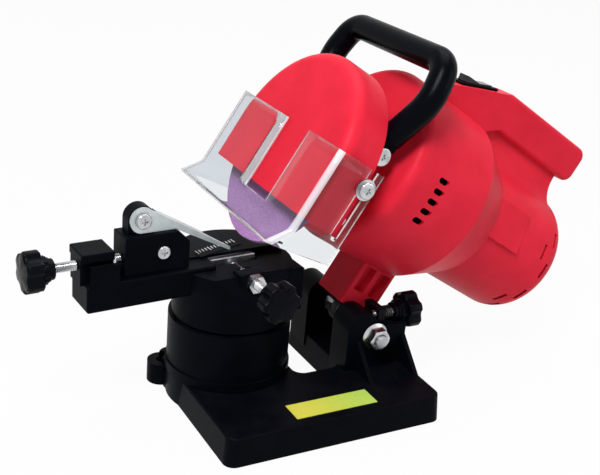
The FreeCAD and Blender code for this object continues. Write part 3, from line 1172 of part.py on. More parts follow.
def make_guard():
    """Wheel guard cover, its backplate and the screws between them."""
    form = rounded(dee("0", "-guard_lower", "-guard_front", "guard_back - backplate_thick"), "guard_round",
                   lambda edge: lies_in("x", -number.guard_front)(edge)
                   and edge.BoundBox.ZMax > -number.guard_lower + 1)
    hollow = dee("guard_wall", "-guard_lower - 1", "-guard_front + guard_wall",
                 "guard_back - backplate_thick + 1")
    bosses = fuse(*[rod("x", "small_screw + 2.5", place, "3", "guard_back - backplate_thick")
                    for place in GUARD_SCREWS])
    ears = fuse(*[box(("shield_screw_w - 5", "guard_back - backplate_thick"), sides,
                      ("shield_screw_v - 5", "shield_screw_v + 5"))
                  for sides in (("-guard_half + 1", "-guard_half + 9"),
                                ("guard_half - 9", "guard_half - 1"))])
    solid = fuse(cut(form, hollow), common(fuse(bosses, ears), dee("1", "-guard_lower", "0", "guard_back")))
    holes = [rod("x", "small_screw + thread_fit", place, "4", "guard_back") for place in GUARD_SCREWS]
    holes.append(shield_screw_hole())
    node("guard_cover", "head", cut(solid, *holes))
    plate = dee("0", "-guard_lower", "guard_back - backplate_thick", "guard_back")
    openings = [rod("x", "spindle_radius + 1.5", WHEEL_AXIS, "0", "guard_back + 1")]
    openings += [rod("x", "small_screw + thread_fit", place, "4", "guard_back + 1") for place in GUARD_SCREWS]
    openings.append(shield_screw_hole())
    node("guard_backplate", "head", cut(plate, *openings))
    screws = [fuse(rod("x", "small_screw", place, "5", "guard_back + 0.5"),
                   rod("x", "small_screw + 1.8", place, "guard_back", "guard_back + 2.2"))
              for place in GUARD_SCREWS]
    node("guard_screws", "head", *screws)


def shield_screw_hole():
    return rod("y", "small_screw + thread_fit", ("shield_screw_w", "shield_screw_v"),
               "-guard_half - 1", "guard_half + 1")


def make_shield():
    """Clear U-shaped shield with a flared lip, and its two screws with washers."""
    half = "guard_half + shield_gap + shield_thick"
    front = rounded(box(("-shield_front", "-shield_front + shield_thick"), (f"-({half})", half),
                        ("-shield_bottom", "shield_top")), 1.5,
                    lambda edge: runs_along("z")(edge) and edge.BoundBox.XMax < -number.shield_front + 0.1)
    sides = []
    for near in (f"-({half})", f"{half} - shield_thick"):
        body = Body("ShieldSide")
        side = body.sketch("XZ", near)
        outline(side, [("-shield_front + 1", "shield_top"), ("shield_back", "shield_top"),
                       ("shield_back", "-side_bottom"),
                       ("-shield_front - lip_reach + 1", "-shield_bottom - lip_drop"),
                       ("-shield_front + 1", "-shield_bottom")])
        body.pad(side, "shield_thick")
        sides.append(body.item)
    body = Body("ShieldLip")
    lip = body.sketch("XZ", f"-({half})")
    outline(lip, [("-shield_front", "-shield_bottom + 0.5"),
                  ("-shield_front + shield_thick", "-shield_bottom + 0.5"),
                  ("-shield_front + shield_thick", "-shield_bottom"),
                  ("-shield_front + shield_thick - lip_reach", "-shield_bottom - lip_drop"),
                  ("-shield_front - lip_reach", "-shield_bottom - lip_drop"),
                  ("-shield_front", "-shield_bottom")])
    body.pad(lip, f"2 * ({half})")
    window = box(("-shield_front - 1", "-shield_front + shield_thick + 1"), ("-window_left", "window_right"),
                 ("-window_bottom", "shield_top + 1"))
    slot_half = "small_screw + 0.6"
    slot = fuse(box((f"shield_screw_w - ({slot_half})", f"shield_screw_w + {slot_half}"),
                    (f"-({half}) - 1", f"{half} + 1"),
                    (f"-shield_slot_end + {slot_half}", "shield_top + 1")),
                rod("y", slot_half, ("shield_screw_w", f"-shield_slot_end + {slot_half}"),
                    f"-({half}) - 1", f"{half} + 1"))
    node("shield", "head", cut(fuse(front, body.item, *sides), window, slot))
    place = ("shield_screw_w", "shield_screw_v")
    washers = []
    screws = []
    head_face = (number.guard_half + number.shield_gap + number.shield_thick + number.side_gap
                 + number.shield_head)
    for sign in ("-", ""):
        face = f"{sign}({half} + side_gap)"
        outer = f"{sign}({half} + side_gap + 1.2)"
        pair = (outer, face) if sign else (face, outer)
        washers.append(ring("y", "shield_washer", "small_screw + thread_fit", place, *pair))
        top = f"{sign}({half} + side_gap + shield_head)"
        pair = (top, outer) if sign else (outer, top)
        head = rounded(rod("y", "shield_screw_head", place, *pair), 1,
                       lambda edge: edge.BoundBox.YLength < 1e-6
                       and abs(abs(edge.BoundBox.YMin) - head_face) < 1e-4)
        end = f"{sign}(guard_half - 8)"
        pair = (outer, end) if sign else (end, outer)
        recess = crosshead_y(place, top)
        screws.append(cut(fuse(head, rod("y", "small_screw", place, *pair)), recess))
    node("shield_washers", "head", *washers)
    node("shield_screws", "head", *screws)


def crosshead_y(place, face):
    x, z = place
    return crosshead(x, face, z)


def make_handle():
    """Bent bar handle with its two screws in the neck."""
    knee = Vector(number.handle_w, number.handle_foot_half, number.handle_knee_v - 12)
    foot = Vector(number.handle_w, number.handle_foot_half, number.handle_foot_v)
    wide = Vector(number.handle_w, number.handle_half, number.handle_wide_v)
    corner = Vector(number.handle_w, number.handle_half - number.handle_lean, number.handle_top)
    middle = Vector(number.handle_w, 0, number.handle_top)
    half = bent([foot, knee, wide, corner, middle],
                [number.handle_bend_foot, number.handle_bend_side, number.handle_bend_top])
    mirrored = [edge.mirror(Vector(), Vector(0, 1, 0)) for edge in half]
    spine = Part.Wire(Part.__sortEdges__(half + mirrored))
    section = Part.Wire(Part.makeCircle(number.handle_section, foot, Vector(0, 0, 1)))
    bar = document.addObject("Part::Feature", "HandleBar")
    bar.Shape = spine.makePipeShell([section], True, True)
    flats = [box(("0", "2 * handle_w"), pair, ("handle_foot_v - 1", "handle_screw_v + 9"))
             for pair in (("-neck_half", "neck_half"), ("neck_half + handle_flat", "handle_half + 30"),
                          ("-handle_half - 30", "-neck_half - handle_flat"))]
    hole = rod("y", "small_screw + thread_fit", HANDLE_SCREW, "-handle_half - 30", "handle_half + 30")
    node("handle", "head", cut(bar, hole, *flats))
    screws = []
    head_face = number.neck_half + number.handle_flat + 2.8
    for sign in ("-", ""):
        outer, top, end = (f"{sign}({text})" for text in (
            "neck_half + handle_flat", "neck_half + handle_flat + 2.8", "neck_half - 9"))
        pairs = ((top, outer), (outer, end)) if sign else ((outer, top), (end, outer))
        head = rounded(rod("y", "handle_screw_head", HANDLE_SCREW, *pairs[0]), 1.2,
                       lambda edge: edge.BoundBox.YLength < 1e-6
                       and abs(abs(edge.BoundBox.YMin) - head_face) < 1e-4)
        shank = rod("y", "small_screw", HANDLE_SCREW, *pairs[1])
        screws.append(cut(fuse(head, shank), crosshead_y(HANDLE_SCREW, top)))
    node("handle_screws", "head", *screws)


def bent(points, radii):
    """Edges of a path of straight runs, with a tangent arc of its own radius at each inner point."""
    edges = []
    last = points[0]
    for before, at, after, radius in zip(points, points[1:], points[2:], radii):
        into = (at - before).normalize()
        out = (after - at).normalize()
        turn = into.getAngle(out)
        back = radius * math.tan(turn / 2)
        start = at - into * back
        end = at + out * back
        inward = (out - into).normalize()
        centre = at + inward * (radius / math.cos(turn / 2))
        edges.append(Part.LineSegment(last, start).toShape())
        edges.append(Part.Arc(start, centre - inward * radius, end).toShape())
        last = end
    edges.append(Part.LineSegment(last, points[-1]).toShape())
    return edges


# ---------------------------------------------------------------------------------------------
# Drive: motor, gears, spindle and grinding wheel
# ---------------------------------------------------------------------------------------------

def gear(teeth, centre_v, turn, bore):
    """Spur gear with trapezoid teeth at the pitch radius."""
    module = number.gear_module
    pitch = teeth * module / 2
    tip = pitch + module - number.gear_backlash
    root = pitch - 1.25 * module
    step = 2 * math.pi / teeth
    slack = number.gear_backlash / pitch / 2
    corners = []
    for index in range(teeth):
        middle = index * step + turn
        for angle, radius in ((-0.30, root), (-0.13, tip), (0.13, tip), (0.30, root)):
            shift = math.copysign(slack, angle)
            way = middle + angle * step - shift
            corners.append(Vector(0, radius * math.cos(way), radius * math.sin(way)))
    face = Part.Face(Part.makePolygon(corners + corners[:1]))
    item = document.addObject("Part::Feature", "Gear")
    item.Shape = face.extrude(Vector(number.gear_face, 0, 0))
    item.Placement = Placement(Vector(number.gear_w, 0, centre_v), Rotation())
    hole = rod("x", bore, ("0", centre_v), "gear_w - 1", "gear_w + gear_face + 1")
    return cut(item, hole)


def make_wheel_train():
    """Grinding wheel, its flanges and nut, the spindle with its gear and bearings."""
    half = "wheel_thick / 2"
    wheel = rounded(rod("x", "wheel_radius", WHEEL_AXIS, f"-{half}", half), 0.5,
                    lambda edge: edge.BoundBox.YLength > 1)
    node("grinding_wheel", "head", cut(wheel, rod("x", "wheel_bore", WHEEL_AXIS, "-9", "9")))
    hub = rod("x", "wheel_bore - hub_fit", WHEEL_AXIS, f"-{half} + 0.4", f"{half} + 1")
    seat = rod("x", "flange_radius", WHEEL_AXIS, half, f"{half} + flange_plate")
    node("inner_flange", "head",
         cut(fuse(hub, seat), rod("x", "spindle_nose + thread_fit", WHEEL_AXIS, "-9", "9")))
    plate = cone("x", "flange_radius - 2", "flange_radius", WHEEL_AXIS, f"-{half} - flange_plate", f"-{half}")
    node("outer_flange", "head", cut(plate, rod("x", "spindle_nose + thread_fit", WHEEL_AXIS, "-9", "9")))
    nut_back = f"-{half} - flange_plate"
    nut = hexagon("x", "spindle_nut_flats", WHEEL_AXIS, f"{nut_back} - spindle_nut_height", nut_back)
    node("spindle_nut", "head", cut(nut, rod("x", "spindle_nose + thread_fit", WHEEL_AXIS, "-12", "9")))
    nose = rod("x", "spindle_nose", WHEEL_AXIS, f"{nut_back} - spindle_nut_height - 0.6",
               f"{half} + flange_plate + 1")
    shaft = rod("x", "spindle_radius", WHEEL_AXIS, f"{half} + flange_plate", "plate_w + plate_thick + 2")
    node("spindle", "head", fuse(nose, shaft))
    teeth = round(2 * number.motor_v / number.gear_module - number.pinion_teeth)
    node("spindle_gear", "head", gear(teeth, 0, math.pi / 2, "spindle_radius + seat_fit"))
    rear = "plate_w + 0.2"
    node("spindle_bearings", "head", *[
        ring("x", "ball_outer", "spindle_radius + seat_fit", WHEEL_AXIS, start, f"{start} + ball_width - 0.2")
        for start in ("ball_front + 0.1", rear)])
    plate = rod("x", "drum_radius - case_wall - 0.1", MOTOR_AXIS, "plate_w", "plate_w + plate_thick")
    holes = [rod("x", "ball_outer + seat_fit", WHEEL_AXIS, "plate_w - 1", "plate_w + plate_thick + 1"),
             rod("x", "motor_ball_outer + seat_fit", MOTOR_AXIS, "plate_w - 1", "plate_w + plate_thick + 1")]
    node("bearing_plate", "head", cut(plate, *holes))


def make_motor():
    """Armature on its shaft, field core, brushes and motor bearings."""
    shaft = rod("x", "shaft_radius", MOTOR_AXIS, "gear_w - 1", f"{MOTOR_BALL_REAR} + ball_width + 0.4")
    node("motor_shaft", "head", shaft)
    teeth = int(number.pinion_teeth)
    pinion = gear(teeth, number.motor_v, math.pi / 2 + math.pi / teeth, "shaft_radius + seat_fit")
    node("motor_pinion", "head", pinion)
    core = ring("x", "stator_bore - air_gap", "shaft_radius + seat_fit", MOTOR_AXIS, "stator_front + 1",
                "stator_front + stator_length - 1")
    slots = [turned(box(("stator_front", "stator_front + stator_length"), ("-1.2", "1.2"),
                        ("motor_v + stator_bore - 9", "motor_v + stator_bore")),
                    "1; 0; 0", f"{index} * 30", ("0", "0", "motor_v")) for index in range(12)]
    node("armature_core", "head", cut(core, *slots))
    node("commutator", "head", ring("x", "commutator_radius", "shaft_radius + seat_fit", MOTOR_AXIS,
                                    "commutator_front", "commutator_front + commutator_length"))
    disc = ring("x", "fan_radius", "shaft_radius + seat_fit", MOTOR_AXIS, "fan_front + fan_width - 2",
                "fan_front + fan_width")
    hub = ring("x", "shaft_radius + 5", "shaft_radius + seat_fit", MOTOR_AXIS, "fan_front",
               "fan_front + fan_width")
    blades = [turned(box(("fan_front", "fan_front + fan_width - 1"), ("-0.9", "0.9"),
                         ("motor_v + shaft_radius + 4", "motor_v + fan_radius - 1")),
                     "1; 0; 0", f"{index} * 30", ("0", "0", "motor_v")) for index in range(12)]
    node("cooling_fan", "head", fuse(disc, hub, *blades))
    stack = ("stator_front", "stator_front + stator_length")
    field = common(rod("x", "stator_radius", MOTOR_AXIS, *stack),
                   box(stack, ("-barrel_radius", "barrel_radius"),
                       ("motor_v - stator_flat", "motor_v + stator_flat")))
    node("stator", "head", cut(field, rod("x", "stator_bore", MOTOR_AXIS, "stator_front - 1",
                                          "stator_front + stator_length + 1")))
    front = ring("x", "motor_ball_outer", "shaft_radius + seat_fit", MOTOR_AXIS, "plate_w + 0.2",
                 "plate_w + ball_width")
    back = ring("x", "motor_ball_outer", "shaft_radius + seat_fit", MOTOR_AXIS, MOTOR_BALL_REAR,
                f"{MOTOR_BALL_REAR} + ball_width - 1.2")
    node("motor_bearings", "head", front, back)
    middle = "commutator_front + commutator_length / 2"
    brushes = []
    holders = []
    for sign in ("-", ""):
        near, far, out = (f"{sign}({text})" for text in (
            "commutator_radius + 0.3", "commutator_radius + 0.3 + brush_length",
            "barrel_radius - case_wall - 0.3"))
        across = ("motor_v - brush_width / 2", "motor_v + brush_width / 2")
        ends = (far, near) if sign else (near, far)
        brushes.append(box((f"{middle} - brush_width / 2", f"{middle} + brush_width / 2"), ends, across))
        start = f"{sign}(commutator_radius + 4)"
        ends = (out, start) if sign else (start, out)
        block = box((f"{middle} - brush_width / 2 - 2", f"{middle} + brush_width / 2 + 2"), ends,
                    ("motor_v - brush_width / 2 - 2", "motor_v + brush_width / 2 + 2"))
        way = box((f"{middle} - brush_width / 2 - seat_fit", f"{middle} + brush_width / 2 + seat_fit"),
                  (f"{sign}(commutator_radius + 60)", "0") if sign else ("0", "commutator_radius + 60"),
                  ("motor_v - brush_width / 2 - seat_fit", "motor_v + brush_width / 2 + seat_fit"))
        holders.append(cut(block, way))
    node("carbon_brushes", "head", *brushes)
    node("brush_holders", "head", *holders)


# ---------------------------------------------------------------------------------------------
# Depth stop
# ---------------------------------------------------------------------------------------------
STOP = ("-stop_y", "stop_z")


def make_depth_stop():
    """Screw through the lug of the arm, its knob and the spring that stops it from creeping."""
    node("depth_stop_screw", "bench",
         rod("x", "screw_radius", STOP, "stop_tip_x", "stop_knob_x - knob_round - 1.6"))
    node("depth_stop_knob", "bench", star_knob("x", STOP, "stop_knob_x", -1))
    start = number.lug_left + number.lug_thick + number.spring_wire + 0.1
    end = number.stop_knob_x - number.knob_thick - number.hub_length - number.spring_wire - 0.1
    winding = coil("x", (-number.stop_y, number.stop_z), start, end, 4,
                   number.stop_spring_radius, number.spring_wire)
    node("depth_stop_spring", "bench", winding)


# ---------------------------------------------------------------------------------------------
# Build, test and write
# ---------------------------------------------------------------------------------------------
SECTIONS = [
    make_base, make_base_fittings, make_return_spring, make_turret, make_vise_fittings, make_clamp,
    make_chain_stop, make_housing, make_housing_fittings, make_guard, make_shield, make_handle,
    make_wheel_train, make_motor, make_depth_stop,
]
for make in SECTIONS:
    make()
document.recompute()

for item in document.Objects:
    if "Invalid" in item.State or "Error" in item.State:
        raise RuntimeError(f"{item.Name} ({item.Label}) failed: {item.getStatusString()}")
for piece in nodes:
    if piece.Shape.isNull() or not piece.Shape.isValid() or not piece.Shape.Solids:
        raise RuntimeError(f"{piece.Label} has no valid solid")

os.makedirs("parts", exist_ok=True)
for piece in nodes:
    piece.Shape.exportStep(os.path.join("parts", piece.Label + ".step"))
    print(piece.Label, len(piece.Shape.Solids), round(piece.Shape.Volume, 1))
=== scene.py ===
"""Electric chainsaw sharpener: finishes, moulded details, threads, light and camera.

Lengths are millimetres, but metres in shaders and in the studio. The bench frame has X towards the
motor, Y away from the clamp knob and Z up; the vise frame is the bench frame swivelled about Z; the
head frame has W along the wheel axis, U across the tool and V upwards in the plane of the wheel.
"""
import logging
import math
from dataclasses import dataclass, replace
from enum import Enum

import bmesh
import bpy
import numpy as np
from mathutils import Matrix
from numpy.typing import NDArray


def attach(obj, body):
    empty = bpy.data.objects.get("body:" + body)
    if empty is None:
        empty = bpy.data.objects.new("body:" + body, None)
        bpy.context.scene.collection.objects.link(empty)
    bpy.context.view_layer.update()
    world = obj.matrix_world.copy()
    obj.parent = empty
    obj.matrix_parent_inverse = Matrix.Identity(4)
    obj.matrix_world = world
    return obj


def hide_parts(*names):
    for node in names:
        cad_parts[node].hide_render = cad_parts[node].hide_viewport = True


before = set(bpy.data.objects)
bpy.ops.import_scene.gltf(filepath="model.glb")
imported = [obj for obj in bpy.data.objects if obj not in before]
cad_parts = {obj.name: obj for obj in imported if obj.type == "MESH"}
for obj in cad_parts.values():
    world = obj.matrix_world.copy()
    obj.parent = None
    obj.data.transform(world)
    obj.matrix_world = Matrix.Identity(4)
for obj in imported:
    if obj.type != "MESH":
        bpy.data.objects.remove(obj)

log = logging.getLogger("sharpener")
Array = NDArray[np.float64]
Mask = NDArray[np.bool_]
Point = tuple[float, float, float]
Colour = tuple[float, float, float]
Socket = bpy.types.NodeSocket
Outputs = bpy.types.NodeOutputs
Node = bpy.types.Node
Material = bpy.types.Material
Object = bpy.types.Object
Feed = Socket | float | tuple
MM = 0.001

# Points nearer than the first become one; edges shorter than the second go.
MERGED = 0.002 * MM
SHORTEST = 0.001 * MM


class Rides(Enum):
    """Bodies of the sharpener that pieces ride on."""

    BASE = "base"
    VISE = "vise"
    ADJUSTER = "adjuster"
    CLAMP = "clamp"
    HEAD = "head"
    SHIELD = "shield"
    STOP = "depth_stop"
    STOP_GRIP = "depth_stop_grip"


# --- Frames and surfaces ---
@dataclass(frozen=True)
class Axes:
    """A frame of reference: an origin in millimetres and three unit directions."""

    origin: Point
    first: Point
    second: Point
    third: Point

    def place(self, points: Array) -> Array:
        """Turns points of this frame, in millimetres, into points of the bench frame in metres.

        Args:
            points: array whose last axis holds the three coordinates.

        Returns:
            An array of the same shape: origin + p1 first + p2 second + p3 third, in metres.
        """
        turn = np.array([self.first, self.second, self.third])
        return (np.asarray(points) @ turn + np.array(self.origin)) * MM


def turned_about_z(degrees: float) -> Axes:
    """Bench frame swivelled about Z by an angle."""
    c, s = math.cos(math.radians(degrees)), math.sin(math.radians(degrees))
    return Axes((0, 0, 0), (c, s, 0), (-s, c, 0), (0, 0, 1))


def tilted_head(x: float, z: float, degrees: float) -> Axes:
    """Frame of the wheel: W dips by an angle as it runs back, V rises in the plane of the wheel."""
    c, s = math.cos(math.radians(degrees)), math.sin(math.radians(degrees))
    return Axes((x, 0, z), (c, 0, -s), (0, 1, 0), (s, 0, c))


# The pose at rest, in degrees, and the x and z of the wheel's centre.
SWIVEL = 3.5
TILT = 32
WHEEL_CENTRE = (33.4, 151)

BENCH = Axes((0, 0, 0), (1, 0, 0), (0, 1, 0), (0, 0, 1))
VISE = turned_about_z(SWIVEL)
HEAD = tilted_head(*WHEEL_CENTRE, TILT)


def along(axes: Axes, start: Point, direction: str) -> Axes:
    """Frame at a point of another frame, whose third direction runs along one of its axes.

    Args:
        axes: the frame that holds the point.
        start: the point, in millimetres.
        direction: "+x", "-x", "+y", "-y", "+z" or "-z" of that frame.

    Returns:
        The frame; its first two directions are the axes that follow in order.
    """
    rows = np.array([axes.first, axes.second, axes.third], float)
    pick = "xyz".index(direction[1])
    third = rows[pick] * (1 if direction[0] == "+" else -1)
    first = rows[(pick + 1) % 3]
    origin = axes.place(np.array(start, float)) / MM
    return Axes(tuple(origin), tuple(first), tuple(np.cross(third, first)), tuple(third))


def grid_quads(rows: int, columns: int, closed: bool) -> NDArray[np.int64]:
    """Quads of a grid of points.

    Args:
        rows: number of rows.
        columns: number of points in a row.
        closed: whether the last column joins the first.

    Returns:
        An array of four point numbers to a face.
    """
    r = np.arange(rows - 1)[:, None]
    c = np.arange(columns if closed else columns - 1)[None, :]
    nxt = (c + 1) % columns
    row, after = r * columns, (r + 1) * columns
    return np.stack([row + c, row + nxt, after + nxt, after + c], -1).reshape(-1, 4)


def piece_of(name: str, grids: list[tuple[Array, bool]], smooth: float = 35.0,
             keep: Mask | None = None) -> Object:
    """One object out of grids of points, with doubles merged and faces turned outwards.

    Args:
        name: name of the piece.
        grids: arrays of rows x columns x 3 in metres, each with whether its rows are closed rings.
        smooth: edges sharper than this angle, in degrees, stay sharp.
        keep: which quads of a single grid are made, all of them if it is left out.

    Returns:
        The object, linked to the scene, with its place in its mesh.
    """
    points, faces, offset = [], [], 0
    for grid, closed in grids:
        rows, columns = grid.shape[:2]
        points.append(grid.reshape(-1, 3))
        quads = grid_quads(rows, columns, closed)
        faces.append((quads if keep is None else quads[keep.ravel()]) + offset)
        offset += rows * columns
    mesh = bpy.data.meshes.new(name)
    mesh.from_pydata(np.concatenate(points), [], np.concatenate(faces).tolist())
    work = bmesh.new()
    work.from_mesh(mesh)
    loose = [vert for vert in work.verts if not vert.link_faces]
    bmesh.ops.delete(work, geom=loose, context="VERTS")
    bmesh.ops.remove_doubles(work, verts=work.verts, dist=MERGED)
    bmesh.ops.dissolve_degenerate(work, edges=work.edges, dist=SHORTEST)
    bmesh.ops.recalc_face_normals(work, faces=work.faces)
    work.to_mesh(mesh)
    work.free()
    mesh.shade_smooth()
    mesh.set_sharp_from_angle(angle=math.radians(smooth))
    piece = bpy.data.objects.new(name, mesh)
    bpy.context.scene.collection.objects.link(piece)
    return piece


def full_turn(count: int) -> Array:
    """Angles spread evenly over a turn."""
    return np.linspace(0, 2 * np.pi, count, endpoint=False)


def folded(angle: Array, count: int) -> Array:
    """Angle from the nearest of some directions that are spread evenly over a turn."""
    sector = 2 * np.pi / count
    return (angle + sector / 2) % sector - sector / 2


def rings(radius: Array, angle: Array, height: Array) -> Array:
    """Points (r cos a, r sin a, z), a row to each height."""
    return np.stack([radius * np.cos(angle), radius * np.sin(angle), height + 0 * angle], -1)


def arc(centre: tuple[float, float], radius: float, start: float, end: float, steps: int) -> Array:
    """Points centre + radius (cos a, sin a) for angles from start to end, in degrees."""
    angle = np.radians(np.linspace(start, end, steps))
    return np.stack([centre[0] + radius * np.cos(angle), centre[1] + radius * np.sin(angle)], -1)


def slab(outline: Array, low: float, high: float, rounding: float, axes: Axes) -> Array:
    """Plate over a closed outline, with rounded upper and lower edges.

    Each row of the grid is the outline moved inwards along its own normal by the rounding's inset at
    that height; the first and last rows shrink to the middle of the outline.

    Args:
        outline: points of the closed outline, anticlockwise, in millimetres.
        low: height of the lower face.
        high: height of the upper face.
        rounding: radius of the edges.
        axes: the frame whose first two directions hold the outline.

    Returns:
        The closed surface as a grid, in metres.
    """
    tangent = np.roll(outline, -1, 0) - np.roll(outline, 1, 0)
    normal = np.stack([tangent[:, 1], -tangent[:, 0]], -1)
    normal /= np.linalg.norm(normal, axis=1, keepdims=True)
    quarter = np.radians(np.linspace(0, 90, 5))
    out, up = rounding * (1 - np.sin(quarter)), rounding * (1 - np.cos(quarter))
    inset, height = np.append(out, up), np.append(low + up, high - out)
    rows = outline[None] - inset[:, None, None] * normal[None]
    solid = np.concatenate([rows, np.repeat(height[:, None, None], len(outline), 1)], -1)
    middle = outline.mean(0)
    share = np.array([0.0, 0.5])[:, None, None]

    def cap(row: Array) -> Array:
        """Rows that shrink a ring to the middle of the outline."""
        centre = np.array([middle[0], middle[1], row[0, 2]])
        return centre + share * (row[None] - centre)
    return axes.place(np.concatenate([cap(solid[0]), solid, cap(solid[-1])[::-1]]))


# --- Shader effects that several finishes share ---
class Tree:
    """A node tree that is being written, in a material or in a node group."""

    def __init__(self, tree: bpy.types.NodeTree) -> None:
        """Keeps the tree."""
        self.tree = tree

    def add(self, kind: str, **settings: object) -> Node:
        """New node of a kind, with its settings.

        Args:
            kind: Blender's name of the node.
            settings: properties of the node and their values.

        Returns:
            The node.
        """
        node = self.tree.nodes.new(kind)
        for key, value in settings.items():
            setattr(node, key, value)
        return node

    def feed(self, source: Feed, target: Socket) -> None:
        """Links a socket to a target, or sets the target's value; colours are opaque.

        Args:
            source: a socket, a number, a vector or a colour.
            target: the input that it goes to.
        """
        if isinstance(source, Socket):
            self.tree.links.new(source, target)
        elif target.type == "RGBA":
            target.default_value = (*source, 1)
        else:
            target.default_value = source

    def fill(self, node: Node, values: dict[str, Feed]) -> Outputs:
        """Feeds some inputs of a node by their names, and gives its outputs.

        Args:
            node: the node.
            values: what goes to each input, by the input's name.

        Returns:
            The node's outputs.
        """
        for name, value in values.items():
            self.feed(value, node.inputs[name])
        return node.outputs

    def math(self, operation: str, *values: Socket | float, clamp: bool = False) -> Socket:
        """Output of a math node.

        Args:
            operation: Blender's name of the operation.
            values: what it works on.
            clamp: whether the result is kept between zero and one.

        Returns:
            The result.
        """
        node = self.add("ShaderNodeMath", operation=operation, use_clamp=clamp)
        for value, target in zip(values, node.inputs):
            self.feed(value, target)
        return node.outputs[0]

    def noise(self, vector: Socket, scale: Socket | float, detail: float,
              rough: float = 0.5) -> Socket:
        """Noise value over a vector.

        Args:
            vector: where the noise is read.
            scale: size of its cells, as cells to a metre.
            detail: number of finer layers.
            rough: how strong the finer layers are.

        Returns:
            The noise, from about zero to one.
        """
        values = {"Vector": vector, "Scale": scale, "Detail": detail, "Roughness": rough}
        return self.fill(self.add("ShaderNodeTexNoise"), values)["Fac"]

    def steps(self, value: Socket, low: float, high: float,
              to_low: float = 0.0, to_high: float = 1.0) -> Socket:
        """Value carried from one range to another, clamped and eased at both ends.

        Args:
            value: what is carried over.
            low: start of the first range.
            high: end of the first range.
            to_low: start of the second range.
            to_high: end of the second range.

        Returns:
            The carried value.
        """
        node = self.add("ShaderNodeMapRange", interpolation_type="SMOOTHSTEP")
        ends = {"From Min": low, "From Max": high, "To Min": to_low, "To Max": to_high}
        return self.fill(node, {"Value": value, **ends})["Result"]

    def blend(self, share: Socket | float, first: Feed, second: Feed) -> Socket:
        """Mix of two colours.

        Args:
            share: share of the second colour.
            first: the first colour.
            second: the second colour.

        Returns:
            The mixed colour.
        """
        node = self.add("ShaderNodeMix", data_type="RGBA", clamp_factor=True)
        for source, place in ((share, 0), (first, 6), (second, 7)):
            self.feed(source, node.inputs[place])
        return node.outputs[2]

    def split(self, vector: Socket) -> Outputs:
        """X, Y and Z of a vector."""
        return self.fill(self.add("ShaderNodeSeparateXYZ"), {"Vector": vector})

    def stretched(self, vector: Socket, scale: Point, turn: Point = (0, 0, 0)) -> Socket:
        """Vector scaled along its directions and turned, in radians.

        Args:
            vector: the vector.
            scale: factor along each direction.
            turn: turn about each direction, in radians.

        Returns:
            The changed vector.
        """
        values = {"Vector": vector, "Scale": scale, "Rotation": turn}
        return self.fill(self.add("ShaderNodeMapping"), values)["Vector"]

    def coordinates(self) -> Socket:
        """Object coordinates, in metres."""
        return self.add("ShaderNodeTexCoord").outputs["Object"]

    def seen(self) -> Socket:
        """One for rays from the camera, also mirrored or through clear sheet, zero for the others."""
        path = self.add("ShaderNodeLightPath").outputs
        beyond = self.math("MAXIMUM", path["Is Glossy Ray"], path["Is Transmission Ray"])
        return self.math("MAXIMUM", path["Is Camera Ray"], beyond)


class Effect(Enum):
    """Shared shader groups."""

    MOULD_SKIN = "mould_skin"
    SCUFFS = "scuffs"
    DUST = "workshop_dust"
    DRAWN_METAL = "drawn_metal"
    GRIT = "bonded_grit"


